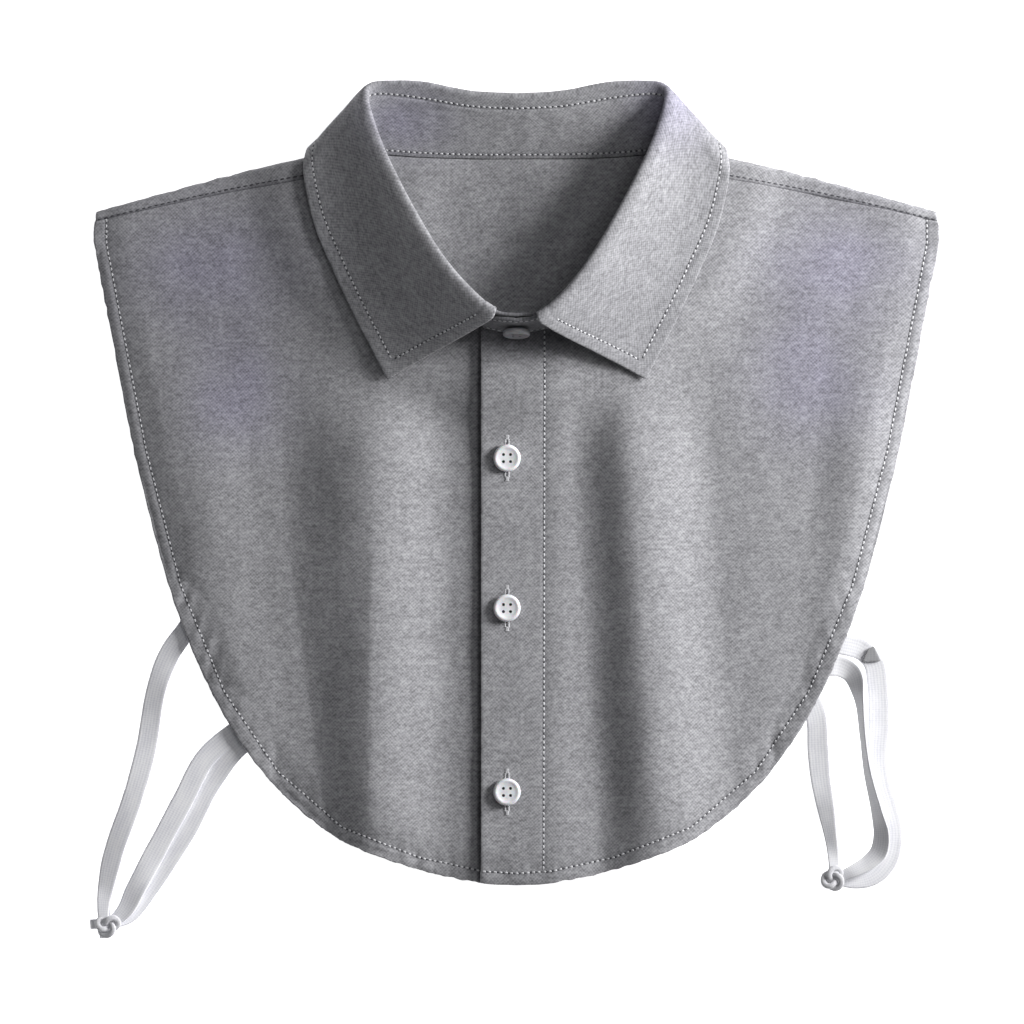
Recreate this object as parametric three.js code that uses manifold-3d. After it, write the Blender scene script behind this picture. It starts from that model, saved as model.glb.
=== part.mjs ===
// A detachable shirt collar on a short bib front and back, laid flat on its back panel with the collar
// buttoned. Millimetres, +Z up from the surface it lies on, +Y towards the back of the neck, +X to the
// right of the picture. Every cloth piece is a thin wall on a grid of points, and pieces that meet are
// built on the same curves.
import * as THREE from "three";
import Module from "manifold-3d";

// Cloth and clearances
const clothThick = 1.2; // a panel with its hem
const collarThick = 1.6; // two plies and the interlining
const facingThick = 1.0; // the turned-under side of the button band
const clearance = 0.3; // between pieces that lie on each other
const seamLift = 1.0; // from a panel's face to the lower edge of the collar stand sewn to it

// The bib, as laid
const shoulderHalf = 169; // middle to shoulder tip
const bibLength = 268; // front hem up to the level of the shoulder tips
const shoulderRise = 25.8; // shoulder tip up to the neck point
const shoulderBulge = 1.2; // how far the shoulder fold stands out past a straight line
const neckHalf = 66.8; // half the width of the neckline
const neckDrop = 71.4; // neck point down to the neckline in front
const backInset = 5; // the back panel's edge lies this far inside the front's
const seamForward = 9.4; // neck point to the shoulder seam, which lies in front of the shoulder fold
const seamForwardTip = 3.2; // the same at the shoulder tip

// Heights of the laid panels
const neckHigh = 12; // front neckline above the surface
const neckReach = 52; // how far that rise spreads over the front
const backHigh = 4.2; // back neckline above the surface
const hemDroop = 14; // width of the edge of the front that bends down past the back's edge

// The button band
const bandHalf = 14; // middle to the band's fold, and to the under front's edge on the other side
const facingReach = 0.8; // share of bandHalf that the facing runs past the middle
const lapFade = 24; // the over front comes down to the level of the under front within this width

// The collar
const foldHalf = 60.6; // half the width of the fold line at its back corners
const foldDepth = 97.2; // front neckline to the fold line's back corners, in plan
const collarHigh = 38.2; // the fold line's highest point above the surface
const standShare = 0.86; // the leaf is sewn on this far up from the neckline to the fold
const leafHalf = 87.5; // half the width over the leaf where it rounds the shoulders
const pointDrop = 20; // collar tips below the front neckline, in plan
const leafDepth = 92; // collar tips up to where the leaf rounds the shoulders
const foldRoll = 4.2; // distance between the two sides of the fold
const leafHover = 1.3; // the leaf's edge stands this far off the front

// Buttons and buttonholes
const buttonRadius = 5.5;
const buttonThick = 2.6;
const buttonDish = 0.6;
const buttonDishRadius = 3.7;
const threadHole = 0.75; // radius
const threadSpread = 1.5; // middle of the button to each thread hole
const buttonAside = -3.8; // the buttons lie this far left of the middle
const buttonSteps = [52, 60, 73.5]; // front neckline to the first button, and on to the next ones
const slitLength = 14;
const slitWidth = 0.6;

// The elastic side tapes
const tapeWidth = 8;
const tapeThick = 1;

const mix = (a, b, t) => a + (b - a) * t;
const share = (a, b, x) => Math.min(1, Math.max(0, (x - a) / (b - a)));
const ease = (a, b, x) => share(a, b, x) ** 2 * (3 - 2 * share(a, b, x));
const vec = (x, y, z = 0) => new THREE.Vector3(x, y, z);

// Levels worked out from the sizes, from the front hem up
const neckPointY = bibLength + shoulderRise;
const frontNeckY = neckPointY - neckDrop;
const lapOut = collarThick + clearance; // the outer end of the stand lies this far outside the inner one
const lapLift = clothThick + facingThick + clearance * 3.6; // the over front lies this far over the under one
const leafFloor = collarThick / 2;
const backFloor = clothThick / 2;
const backOverLeaf = collarThick + clearance * 4 + backFloor;

// A table row becomes an object with the named columns.
function table(columns, rows) {
  return rows.map((row) => Object.fromEntries(columns.map((name, i) => [name, row[i]])));
}

// Rays from the neckline to the hem over one half of the front. neckAcross is a share of neckHalf, neckUp
// a share of neckDrop above the front neckline, hemAcross a share of shoulderHalf and hemUp a share of
// bibLength above the hem.
const frontRays = table(["name", "neckAcross", "neckUp", "hemAcross", "hemUp"], [
  ["middle front", 0.0, 0.0, 0.0, 0.0],
  ["band edge", bandHalf / neckHalf, 0.03, bandHalf / shoulderHalf, 0.003],
  ["collar point", 0.48, 0.16, 0.237, 0.024],
  ["chest", 0.69, 0.322, 0.426, 0.071],
  ["lower corner", 0.838, 0.476, 0.585, 0.157],
  ["lower side", 0.92, 0.588, 0.715, 0.28],
  ["side", 0.966, 0.68, 0.819, 0.44],
  ["upper side", 0.99, 0.756, 0.903, 0.646],
  ["armhole", 0.998, 0.812, 0.961, 0.836],
  ["shoulder tip", 1.0, 0.842, 0.997, 0.955],
]);

// The same for the back panel, from the shoulder fold round to the middle. neckDown is measured below the
// neck point.
const backRays = table(["name", "neckAcross", "neckDown", "hemAcross", "hemUp"], [
  ["under the armhole", 0.87, 0.03, 0.945, 0.835],
  ["upper side", 0.74, 0.04, 0.886, 0.645],
  ["side", 0.6, 0.05, 0.803, 0.44],
  ["lower side", 0.46, 0.055, 0.702, 0.28],
  ["lower corner", 0.34, 0.058, 0.578, 0.157],
  ["blade", 0.22, 0.06, 0.4, 0.065],
  ["beside the middle", 0.11, 0.06, 0.2, 0.017],
  ["middle back", 0.0, 0.06, 0.0, 0.0],
]);

// Soft folds that run down the front. topAcross and hemAcross are shares of shoulderHalf, top is the
// fold's start as a share of bibLength above the hem, inner and outer are its widths on either side as
// shares of shoulderHalf, high is a share of neckHigh and atHem the share of it left at the hem.
const frontFolds = table(["name", "topAcross", "hemAcross", "top", "inner", "outer", "high", "atHem"], [
  ["under the left point", -0.34, -0.35, 0.86, 0.2, 0.16, 0.68, 0.62],
  ["under the right point", 0.25, 0.36, 0.86, 0.15, 0.2, 0.62, 0.62],
  ["left side", -0.8, -0.6, 0.86, 0.13, 0.13, 0.13, 0.5],
  ["right side", 0.86, 0.72, 0.9, 0.12, 0.1, 0.2, 0.4],
]);

// Sections of the collar from the middle front to the middle back. neckAt is the share of the half
// neckline's length, foldAcross, foldUp and foldHigh are shares of foldHalf, foldDepth and collarHigh.
// The leaf's edge, edgeAcross and edgeUp, is in shares of leafHalf and leafDepth from the collar tips.
// edgeHigh is the edge's height as a share of collarHigh, or null where the edge lies on the front.
const leafOnTable = collarThick / 2 / collarHigh;
const foldPlaces = ["foldAcross", "foldUp", "foldHigh"];
const edgePlaces = ["edgeAcross", "edgeUp", "edgeHigh"];
const foldSections = table(["name", "neckAt", ...foldPlaces, ...edgePlaces], [
  ["middle front", 0.0, 0.0, 0.056, 1.0, 0.52, -0.12, null],
  ["front end", 0.05, 0.142, 0.074, 0.995, 0.587, 0.0, null],
  ["throat", 0.117, 0.307, 0.156, 0.976, 0.654, 0.124, null],
  ["point side", 0.24, 0.505, 0.3, 0.916, 0.737, 0.277, null],
  ["side", 0.355, 0.703, 0.506, 0.812, 0.83, 0.465, null],
  ["neck side", 0.455, 0.868, 0.712, 0.68, 0.909, 0.641, null],
  ["before the shoulder", 0.528, 0.954, 0.856, 0.602, 0.955, 0.81, null],
  ["on the shoulder", 0.572, 0.985, 0.94, 0.537, 0.967, 0.91, null],
  ["round the shoulder", 0.606, 0.968, 0.976, 0.497, 0.945, 0.998, 0.16],
  ["back corner", 0.667, 0.88, 0.99, 0.46, 0.9, 0.91, leafOnTable],
  ["back side", 0.767, 0.637, 0.974, 0.45, 0.754, 0.804, leafOnTable],
  ["beside the middle back", 0.88, 0.307, 0.937, 0.455, 0.38, 0.796, leafOnTable],
  ["middle back", 1.0, 0.0, 0.925, 0.46, 0.0, 0.796, leafOnTable],
]);

// How the leaf leaves the fold in the same sections. roll is a share of foldRoll, fall and land are its
// slopes in degrees at the fold and at its edge, and aim is how far it heads for its edge rather than
// square to the fold.
const leafSections = table(["name", "roll", "fall", "land", "aim"], [
  ["middle front", 1.0, 38, 12, 1],
  ["front end", 1.0, 38, 12, 1],
  ["throat", 1.0, 40, 12, 0.8],
  ["point side", 1.0, 42, 12, 0.6],
  ["side", 0.95, 42, 10, 0.6],
  ["neck side", 0.9, 40, 8, 0.6],
  ["before the shoulder", 0.9, 36, 8, 0.6],
  ["on the shoulder", 0.6, 34, 14, 0.9],
  ["round the shoulder", 0.4, 40, 30, 1],
  ["back corner", 0.4, 75, 0, 0.8],
  ["back side", 0.72, 92, 0, 0],
  ["beside the middle back", 0.72, 94, 0, 0],
  ["middle back", 0.72, 94, 0, 0],
]);

// The side tapes' courses from inside the bib to the eye where a doubled tape and a single one are
// linked. A stop holds its place across, a share of shoulderHalf, and up, a share of bibLength above the
// hem, the level, which counts the tapes that lie below it, and the turn in degrees by which the tape
// leans over on its edge.
const tapeColumns = ["across", "up", "level", "turn"];
const tapeCourses = {
  leftTab: table(tapeColumns, [
    [-0.746, 0.431, 1.3, 0], [-0.760, 0.410, 1.3, 0], [-0.775, 0.387, 0.9, 0], [-0.822, 0.343, 0.1, 10],
    [-0.853, 0.290, 0, 35], [-0.878, 0.200, 0, 0], [-0.911, 0.125, 0, 10], [-0.952, 0.051, 0, 35],
    [-0.972, -0.004, 1.2, 30], [-0.978, -0.034, 3, 0], [-0.976, -0.075, 3, 0],
  ]),
  leftTabReturn: table(tapeColumns, [[-0.974, -0.030, 1, 0], [-0.976, -0.075, 1, 0]]),
  leftLoopUnder: table(tapeColumns, [
    [-0.586, 0.233, 1.3, 0], [-0.633, 0.216, 1.3, 0], [-0.666, 0.200, 0.9, 0], [-0.715, 0.150, 0, 0],
    [-0.765, 0.085, 0, 0], [-0.835, 0.016, 0, 0], [-0.884, -0.024, 0, 0], [-0.923, -0.049, 0, 0],
    [-0.964, -0.058, 0, 0], [-1.000, -0.060, 0, 0],
  ]),
  leftLoopOver: table(tapeColumns, [
    [-0.568, 0.265, 1.3, 0], [-0.615, 0.250, 1.3, 0], [-0.657, 0.231, 0.9, 0], [-0.736, 0.188, 1, 0],
    [-0.788, 0.127, 1, 0], [-0.861, 0.041, 1, 0], [-0.902, -0.008, 1.3, 40], [-0.929, -0.041, 2, 15],
    [-0.964, -0.058, 2, 0], [-1.000, -0.060, 2, 0],
  ]),
  rightTab: table(tapeColumns, [
    [0.688, 0.300, 1.3, 0], [0.695, 0.280, 1.3, 0], [0.710, 0.246, 0.9, 0], [0.714, 0.201, 0.1, 0],
    [0.720, 0.157, 0, 0], [0.735, 0.104, 0, 35], [0.746, 0.063, 1.2, 40], [0.751, 0.034, 3, 0],
    [0.753, -0.011, 3, 0],
  ]),
  rightTabReturn: table(tapeColumns, [[0.751, 0.034, 1, 0], [0.753, -0.011, 1, 0]]),
  rightLoopUnder: table(tapeColumns, [
    [0.704, 0.366, 1.3, 0], [0.740, 0.361, 1.3, 0], [0.775, 0.357, 0.9, 0], [0.815, 0.350, 0, 0],
    [0.845, 0.331, 0, 0], [0.855, 0.298, 0, 0], [0.858, 0.240, 0, 0], [0.854, 0.190, 0, 0],
    [0.860, 0.150, 0, 0], [0.878, 0.110, 0, 0], [0.890, 0.075, 0, 0], [0.880, 0.038, 0, 0],
    [0.846, 0.012, 0, 0], [0.800, 0.003, 0, 0], [0.757, 0.006, 0, 0], [0.719, 0.007, 0, 0],
  ]),
  rightLoopOver: table(tapeColumns, [
    [0.710, 0.328, 1.3, 0], [0.728, 0.326, 1.3, 0], [0.763, 0.325, 0.9, 0], [0.795, 0.313, 0, 20],
    [0.808, 0.276, 0, 55], [0.815, 0.222, 0, 65], [0.827, 0.168, 0.3, 60], [0.851, 0.108, 1, 50],
    [0.864, 0.073, 1, 40], [0.857, 0.047, 1, 30], [0.832, 0.027, 1.3, 15], [0.793, 0.013, 2, 0],
    [0.757, 0.007, 2, 0], [0.719, 0.007, 2, 0],
  ]),
};

// Smooth reading of a column of numbers at a row position.
function reading(values, at) {
  const last = values.length - 1;
  const i = Math.min(last - 1, Math.max(0, Math.floor(at)));
  const t = at - i;
  const a = values[Math.max(0, i - 1)];
  const b = values[i];
  const c = values[i + 1];
  const d = values[Math.min(last, i + 2)];
  const outA = i > 0 ? (c - a) / 2 : c - b;
  const outC = i + 2 <= last ? (d - b) / 2 : c - b;
  const t2 = t * t;
  const t3 = t2 * t;
  return (2 * t3 - 3 * t2 + 1) * b + (t3 - 2 * t2 + t) * outA + (3 * t2 - 2 * t3) * c + (t3 - t2) * outC;
}

// Distance in plan from (x, y) to a line through points.
function planDistance(x, y, line) {
  let best = Infinity;
  for (let i = 0; i + 1 < line.length; i++) {
    const dx = line[i + 1].x - line[i].x;
    const dy = line[i + 1].y - line[i].y;
    const t = share(0, 1, ((x - line[i].x) * dx + (y - line[i].y) * dy) / (dx * dx + dy * dy || 1));
    best = Math.min(best, Math.hypot(x - line[i].x - dx * t, y - line[i].y - dy * t));
  }
  return best;
}

// Neckline and hem points of a ray on the right half, in plan
const seamNeck = vec(neckHalf, neckPointY - seamForward);
const seamHem = vec(shoulderHalf - 1.5, bibLength - seamForwardTip);
const foldNeck = vec(neckHalf, neckPointY);
const foldHem = vec(shoulderHalf, bibLength);
const neckSpot = (across, y) => vec(across * neckHalf, y);
const frontNecks = frontRays.map((r) => neckSpot(r.neckAcross, frontNeckY + r.neckUp * neckDrop));
frontNecks.push(seamNeck);
const frontHems = frontRays.map((r) => vec(r.hemAcross * shoulderHalf, r.hemUp * bibLength));
frontHems.push(seamHem);
const backNecks = backRays.map((r) => neckSpot(r.neckAcross, neckPointY - r.neckDown * neckDrop));
const backHalf = shoulderHalf - backInset;
const backHems = backRays.map((r) => vec(r.hemAcross * backHalf, mix(backInset * 1.4, bibLength, r.hemUp)));
const rowOf = (points, at) => vec(reading(points.map((p) => p.x), at), reading(points.map((p) => p.y), at));

const seamRow = frontRays.length;
const neckLoop = [...frontNecks, foldNeck, ...backNecks];
const neckDistance = (x, y) => planDistance(Math.abs(x), y, neckLoop);
const hemDistance = (x, y) => planDistance(Math.abs(x), y, frontHems);
const shoulderDistance = (x, y) => planDistance(Math.abs(x), y, [foldNeck, foldHem]);

// Where the side tapes leave the hem. Each spot lifts the front over the tape.
const tapeSpot = (stop) => vec(stop.across * shoulderHalf, stop.up * bibLength);
const tapesFromInside = Object.values(tapeCourses).filter((course) => course.length > 2);
const tapeSpots = tapesFromInside.map((course) => tapeSpot(course[2]));

function backHeight(x, y) {
  const d = neckDistance(x, y);
  const overLeaf = (backOverLeaf - backFloor) * (1 - ease(24, 42, d));
  return backFloor + overLeaf + (backHigh - backOverLeaf) * (1 - ease(0, 12, d));
}

function foldsAt(x, y) {
  let high = 0;
  for (const f of frontFolds) {
    const along = share(0, f.top * bibLength, y);
    const middle = mix(f.hemAcross, f.topAcross, along) * shoulderHalf;
    const away = (x - middle) * Math.sign(middle);
    const width = (away < 0 ? f.inner : f.outer) * shoulderHalf;
    const across = 0.5 + 0.5 * Math.cos(Math.PI * Math.min(1, Math.abs(away) / width));
    const start = 1 - ease(0.7, 1, y / (f.top * bibLength));
    high += f.high * neckHigh * across * start * mix(f.atHem, 1, ease(0, 0.4, along));
  }
  return high;
}

function frontHeight(x, y) {
  const rim = hemDistance(x, y);
  const atShoulder = 1 - ease(8, 34, shoulderDistance(x, y));
  const overBack = (clothThick + clearance * 2) * Math.max(ease(-3, backInset - 2.2, rim), atShoulder);
  const inside = (tapeThick + clearance) * ease(2, hemDroop, rim);
  let overTape = 0;
  for (const spot of tapeSpots) {
    const reach = 1 - ease(11, 26, Math.hypot(x - spot.x, y - spot.y));
    overTape = Math.max(overTape, (clothThick + tapeThick + clearance * 3) * reach);
  }
  const base = backHeight(x, y) + Math.max(overBack + inside, overTape);
  const collarSide = share(frontNeckY, neckPointY, y);
  const neckLevel = neckHigh * mix(1, 0.8, collarSide);
  const rise = (neckLevel - base) * (1 - ease(0, neckReach, neckDistance(x, y)));
  const flatten = share(0, 1, mix(0.55, 1, ease(0, 22, rim)));
  return base + Math.max(0, rise) + foldsAt(x, y) * flatten;
}

const lapAt = (x) => 1 - ease(bandHalf + 1, bandHalf + 1 + lapFade, x);

// A point of a front panel. ray runs from 0 at the middle to the shoulder seam, negative past the middle,
// u from the neckline to the hem, and side is -1 for the under front and 1 for the over front.
function frontPoint(side, ray, u) {
  const past = ray < 0 ? -1 : 1;
  const neck = rowOf(frontNecks, Math.abs(ray));
  const hem = rowOf(frontHems, Math.abs(ray));
  const x = mix(neck.x, hem.x, u) * past * side;
  const bulge = shoulderBulge * 4 * u * (1 - u) * ease(seamRow - 2, seamRow, ray);
  const y = mix(neck.y, hem.y, u) + bulge;
  if (side < 0) return vec(x, y, frontHeight(x, y));
  const out = lapOut * lapAt(x) * (1 - u);
  const low = y - out;
  return vec(x, low, frontHeight(x, low) + lapLift * lapAt(x));
}

// A point of the back panel on the right half. across runs from the shoulder seam (0) over the shoulder
// fold to its under side (1), and on to the middle back.
function shoulderPoint(across, u) {
  const fold = foldNeck.clone().lerp(foldHem, u);
  fold.y += shoulderBulge * 4 * u * (1 - u);
  const seam = frontPoint(-1, seamRow, u);
  const start = vec(-seam.x, seam.y);
  const low = backHeight(fold.x, fold.y);
  const high = seam.z;
  const half = (high - low) / 2;
  const deep = Math.max(1.5, half * 0.95);
  const turn = 0.35;
  const gap = clearance / Math.hypot(fold.x - start.x, fold.y - start.y);
  const inward = start.clone().sub(fold).normalize();
  const top = fold.clone().addScaledVector(inward, deep);
  if (across < turn) {
    const p = start.clone().lerp(top, mix(gap, 1, across / turn));
    return vec(p.x, p.y, high);
  }
  const angle = (Math.PI * (across - turn)) / (1 - turn);
  const p = fold.clone().addScaledVector(inward, deep * (1 - Math.sin(angle)));
  return vec(p.x, p.y, low + half * (1 + Math.cos(angle)));
}

function backPoint(ray, u) {
  const lastRay = backRays.length - 1;
  if (ray <= 1) return shoulderPoint(ray, u);
  if (ray >= 2) {
    const neck = rowOf(backNecks, Math.min(lastRay, ray - 2));
    const hem = rowOf(backHems, Math.min(lastRay, ray - 2));
    const p = neck.lerp(hem, u);
    return vec(p.x, p.y, backHeight(p.x, p.y));
  }
  const a = shoulderPoint(1, u);
  const b = backPoint(2, u);
  const p = a.lerp(b, ray - 1);
  return vec(p.x, p.y, backHeight(p.x, p.y));
}

// The neckline as one curve from the middle front to the middle back, with its length
function neckHalfCurve(side) {
  const points = [];
  for (let ray = 0; ray < seamRow; ray += 0.5) points.push(frontPoint(side, ray, 0));
  points.push(frontPoint(side, seamRow, 0));
  for (const across of [0.35, 0.6, 0.8, 1]) points.push(shoulderPoint(across, 0));
  for (let ray = 2; ray <= backRays.length + 1; ray += 1) points.push(backPoint(ray, 0));
  for (const p of points) p.x = Math.abs(p.x) * side;
  return new THREE.CatmullRomCurve3(points, false, "centripetal");
}
const neckCurves = { under: neckHalfCurve(-1), over: neckHalfCurve(1) };
const curveOf = (side) => (side < 0 ? neckCurves.under : neckCurves.over);

const shoulderSection = 7; // the sections before this one lie in front of the shoulder
const column = (name) => foldSections.map((r, i) => r[name] ?? leafSections[i][name]);
const sectionValue = (name, at) => reading(column(name), at);

// Row position for a share of the neckline's length
function sectionAt(neckAt) {
  const steps = column("neckAt");
  let i = 0;
  while (i < steps.length - 2 && steps[i + 1] < neckAt) i++;
  return i + (neckAt - steps[i]) / (steps[i + 1] - steps[i]);
}

function neckPoint(side, at) {
  if (at < 0) {
    const p = neckPoint(side, -at);
    return vec(-p.x, p.y, p.z);
  }
  return curveOf(side).getPointAt(Math.min(1, Math.max(0, sectionValue("neckAt", at))));
}

function foldPoint(side, at) {
  if (at < 0) {
    const p = foldPoint(side, -at);
    return vec(-p.x, p.y, p.z);
  }
  const x = sectionValue("foldAcross", at) * foldHalf * side;
  const lap = side > 0 && at < shoulderSection ? lapAt(x) : 0;
  const y = frontNeckY + sectionValue("foldUp", at) * foldDepth - lapOut * lap;
  return vec(x, y, sectionValue("foldHigh", at) * collarHigh + lap * clearance);
}

// The stand. along is a row position, negative past the middle front, and high runs from 0 at the
// neckline to 1.
function standPoint(side, at, high) {
  const neck = neckPoint(side, at);
  const fold = foldPoint(side, at);
  const up = fold.clone().sub(neck);
  const length = up.length();
  up.normalize();
  const start = seamLift + clothThick / 2 * 0.6;
  return neck.addScaledVector(up, mix(start, length * standShare, high));
}

// The outward direction of the fold line in plan
function foldOutward(side, at) {
  const a = foldPoint(side, Math.max(-1, at - 0.3));
  const b = foldPoint(side, Math.min(foldSections.length - 1, at + 0.3));
  if (at > foldSections.length - 1.02) return vec(0, 1);
  const along = b.sub(a);
  return vec(along.y, -along.x).normalize().multiplyScalar(side);
}

function bezier(a, b, c, d, t) {
  const s = 1 - t;
  const p = a.clone().multiplyScalar(s * s * s);
  return p.addScaledVector(b, 3 * s * s * t).addScaledVector(c, 3 * s * t * t).addScaledVector(d, t * t * t);
}

function leafEdge(side, at) {
  const x = sectionValue("edgeAcross", at) * leafHalf * side;
  const y = frontNeckY - pointDrop + sectionValue("edgeUp", at) * leafDepth;
  const lap = side > 0 ? lapAt(x) * lapLift : 0;
  const onFront = frontHeight(x, y) + lap + clothThick / 2 + leafHover + collarThick / 2;
  const levels = foldSections.map((r) => (r.edgeHigh === null ? onFront : r.edgeHigh * collarHigh));
  return vec(x, y, Math.max(leafFloor, reading(levels, at)));
}

// A point of the leaf. The section starts at the stand's seam, rises to the fold, rolls over and falls to
// its edge.
const leafSteps = { rise: 1, roll: 4, fall: 6 };
const leafSpan = leafSteps.rise + leafSteps.roll + leafSteps.fall;
function leafPoint(side, at, step) {
  const neck = neckPoint(side, at);
  const fold = foldPoint(side, at);
  const up = fold.clone().sub(neck).normalize();
  const length = fold.distanceTo(neck);
  const seam = neck.clone().addScaledVector(up, length * standShare + clearance * 1.6);
  if (step <= leafSteps.rise) return seam.lerp(fold, step / leafSteps.rise);
  const edge = leafEdge(side, at);
  const out = foldOutward(side, at);
  const toEdge = vec(edge.x - fold.x, edge.y - fold.y).normalize();
  const leave = out.clone().lerp(toEdge, sectionValue("aim", at)).normalize();
  const fall = (sectionValue("fall", at) * Math.PI) / 180;
  const land = (Math.max(0, sectionValue("land", at)) * Math.PI) / 180;
  const down = leave.clone().multiplyScalar(Math.cos(fall)).add(vec(0, 0, -Math.sin(fall)));
  const arrive = toEdge.clone().multiplyScalar(Math.cos(land)).add(vec(0, 0, -Math.sin(land)));
  const width = foldRoll * sectionValue("roll", at);
  const far = fold.clone().addScaledVector(out, width);
  const rolled = step - leafSteps.rise;
  if (rolled <= leafSteps.roll) {
    const first = fold.clone().addScaledVector(up, width * 0.6);
    const second = far.clone().addScaledVector(down, -width * 0.6);
    return bezier(fold, first, second, far, rolled / leafSteps.roll);
  }
  const reach = far.distanceTo(edge) * 0.34;
  const first = far.clone().addScaledVector(down, reach);
  const second = edge.clone().addScaledVector(arrive, -reach);
  const p = bezier(far, first, second, edge, (rolled - leafSteps.roll) / leafSteps.fall);
  p.z = Math.max(p.z, leafFloor);
  return p;
}

// A closed wall of the given thickness on a grid of points
function wall(rows, thick) {
  const m = rows.length;
  const n = rows[0].length;
  const positions = [];
  for (const face of [1, -1]) {
    for (let i = 0; i < m; i++) {
      for (let j = 0; j < n; j++) {
        const a = rows[Math.min(m - 1, i + 1)][j].clone().sub(rows[Math.max(0, i - 1)][j]);
        const b = rows[i][Math.min(n - 1, j + 1)].clone().sub(rows[i][Math.max(0, j - 1)]);
        const normal = a.cross(b).normalize();
        const p = rows[i][j].clone().addScaledVector(normal, (face * thick) / 2);
        positions.push(p.x, p.y, p.z);
      }
    }
  }
  const at = (face, i, j) => face * m * n + i * n + j;
  const index = [];
  const quad = (a, b, c, d) => index.push(a, b, c, a, c, d);
  for (let i = 0; i + 1 < m; i++) {
    for (let j = 0; j + 1 < n; j++) {
      quad(at(0, i, j), at(0, i + 1, j), at(0, i + 1, j + 1), at(0, i, j + 1));
      quad(at(1, i, j), at(1, i, j + 1), at(1, i + 1, j + 1), at(1, i + 1, j));
    }
  }
  for (let i = 0; i + 1 < m; i++) {
    quad(at(0, i + 1, 0), at(0, i, 0), at(1, i, 0), at(1, i + 1, 0));
    quad(at(0, i, n - 1), at(0, i + 1, n - 1), at(1, i + 1, n - 1), at(1, i, n - 1));
  }
  for (let j = 0; j + 1 < n; j++) {
    quad(at(0, 0, j), at(0, 0, j + 1), at(1, 0, j + 1), at(1, 0, j));
    quad(at(0, m - 1, j + 1), at(0, m - 1, j), at(1, m - 1, j), at(1, m - 1, j + 1));
  }
  const geometry = new THREE.BufferGeometry();
  geometry.setAttribute("position", new THREE.Float32BufferAttribute(positions, 3));
  geometry.setIndex(index);
  return geometry;
}

function grid(alongs, acrosses, point) {
  return alongs.map((a) => acrosses.map((b) => point(a, b)));
}

function steps(from, to, count) {
  return Array.from({ length: count + 1 }, (_, i) => mix(from, to, i / count));
}

// Cutting and joining
const wasm = await Module();
wasm.setup();
const { Manifold, Mesh } = wasm;

function solidOf(geometry) {
  const mesh = new Mesh({
    numProp: 3,
    vertProperties: new Float32Array(geometry.attributes.position.array),
    triVerts: new Uint32Array(geometry.index.array),
  });
  mesh.merge();
  return new Manifold(mesh);
}

function geometryOf(solid) {
  const mesh = solid.getMesh();
  const geometry = new THREE.BufferGeometry();
  geometry.setAttribute("position", new THREE.Float32BufferAttribute(mesh.vertProperties, 3));
  geometry.setIndex(Array.from(mesh.triVerts));
  return geometry;
}

const part = new THREE.Group();
part.name = "bib_shirt_collar";
const materials = {
  cloth: new THREE.MeshStandardMaterial({ color: 0x9a9ba3, roughness: 0.9 }),
  pearl: new THREE.MeshStandardMaterial({ color: 0xdadbe0, roughness: 0.35 }),
  elastic: new THREE.MeshStandardMaterial({ color: 0xe6e6e6, roughness: 0.8 }),
};

function add(name, geometry, material) {
  geometry.computeVertexNormals();
  const mesh = new THREE.Mesh(geometry, material);
  mesh.name = name;
  part.add(mesh);
  return mesh;
}

// Front panels
const frontColumns = [-1, -0.5, ...steps(0, 1, 2), ...steps(1.25, 4.5, 13), ...steps(5, seamRow, 8)];
const frontRows = steps(0, 1, 17);
const underFront = grid(frontColumns, frontRows, (ray, u) => frontPoint(-1, ray, u));
add("front_under", wall(underFront.reverse(), clothThick), materials.cloth);

const sum = (values) => values.reduce((a, b) => a + b, 0);
const buttonY = buttonSteps.map((_, i) => frontNeckY - sum(buttonSteps.slice(0, i + 1)));
const slits = buttonY.map((y) => {
  return Manifold.cube([slitWidth, slitLength, 40], true).translate([buttonAside, y, 10]);
});
function withSlits(geometry) {
  let solid = solidOf(geometry);
  for (const slit of slits) solid = solid.subtract(slit);
  return geometryOf(solid);
}
const overFront = grid(frontColumns, frontRows, (ray, u) => frontPoint(1, ray, u));
add("front_over", withSlits(wall(overFront, clothThick)), materials.cloth);

// The facing under the band
const facingDrop = clothThick / 2 + clearance * 1.8 + facingThick / 2;
const facingGrid = grid(steps(-1, facingReach, 5), frontRows, (ray, u) => {
  const p = frontPoint(1, ray, mix(0.008, 0.985, u));
  return vec(p.x, p.y, p.z - facingDrop);
});
add("placket", withSlits(wall(facingGrid, facingThick)), materials.cloth);

// Back panel
const backRayList = [...steps(0, 0.35, 1), ...steps(0.45, 1, 5)];
backRayList.push(...steps(2, backRays.length + 1, backRays.length - 1));
const rightBack = grid(backRayList, steps(0, 1, 13), backPoint);
const leftBack = rightBack.slice(0, -1).reverse().map((row) => row.map((p) => vec(-p.x, p.y, p.z)));
add("back_panel", wall([...rightBack, ...leftBack].reverse(), clothThick), materials.cloth);

// Collar stand, from its inner end round the neck to its outer end
const lastSection = foldSections.length - 1;
const endRow = sectionAt(bandHalf / neckCurves.under.getLength());
const standHalf = [...steps(-endRow, 0, 4), ...steps(0.5, lastSection, 23)];
const standStations = standHalf.map((at) => [-1, at]);
standStations.push(...standHalf.slice(0, -1).reverse().map((at) => [1, at]));
const standRows = standStations.map(([side, at]) => {
  const fromEnd = share(-endRow, 0, at);
  const top = mix(0.5, 1, Math.sqrt(1 - (1 - fromEnd) ** 2));
  return steps(0, 1, 3).map((high) => standPoint(side, at, high * top));
});
add("collar_stand", wall(standRows, collarThick), materials.cloth);

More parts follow.
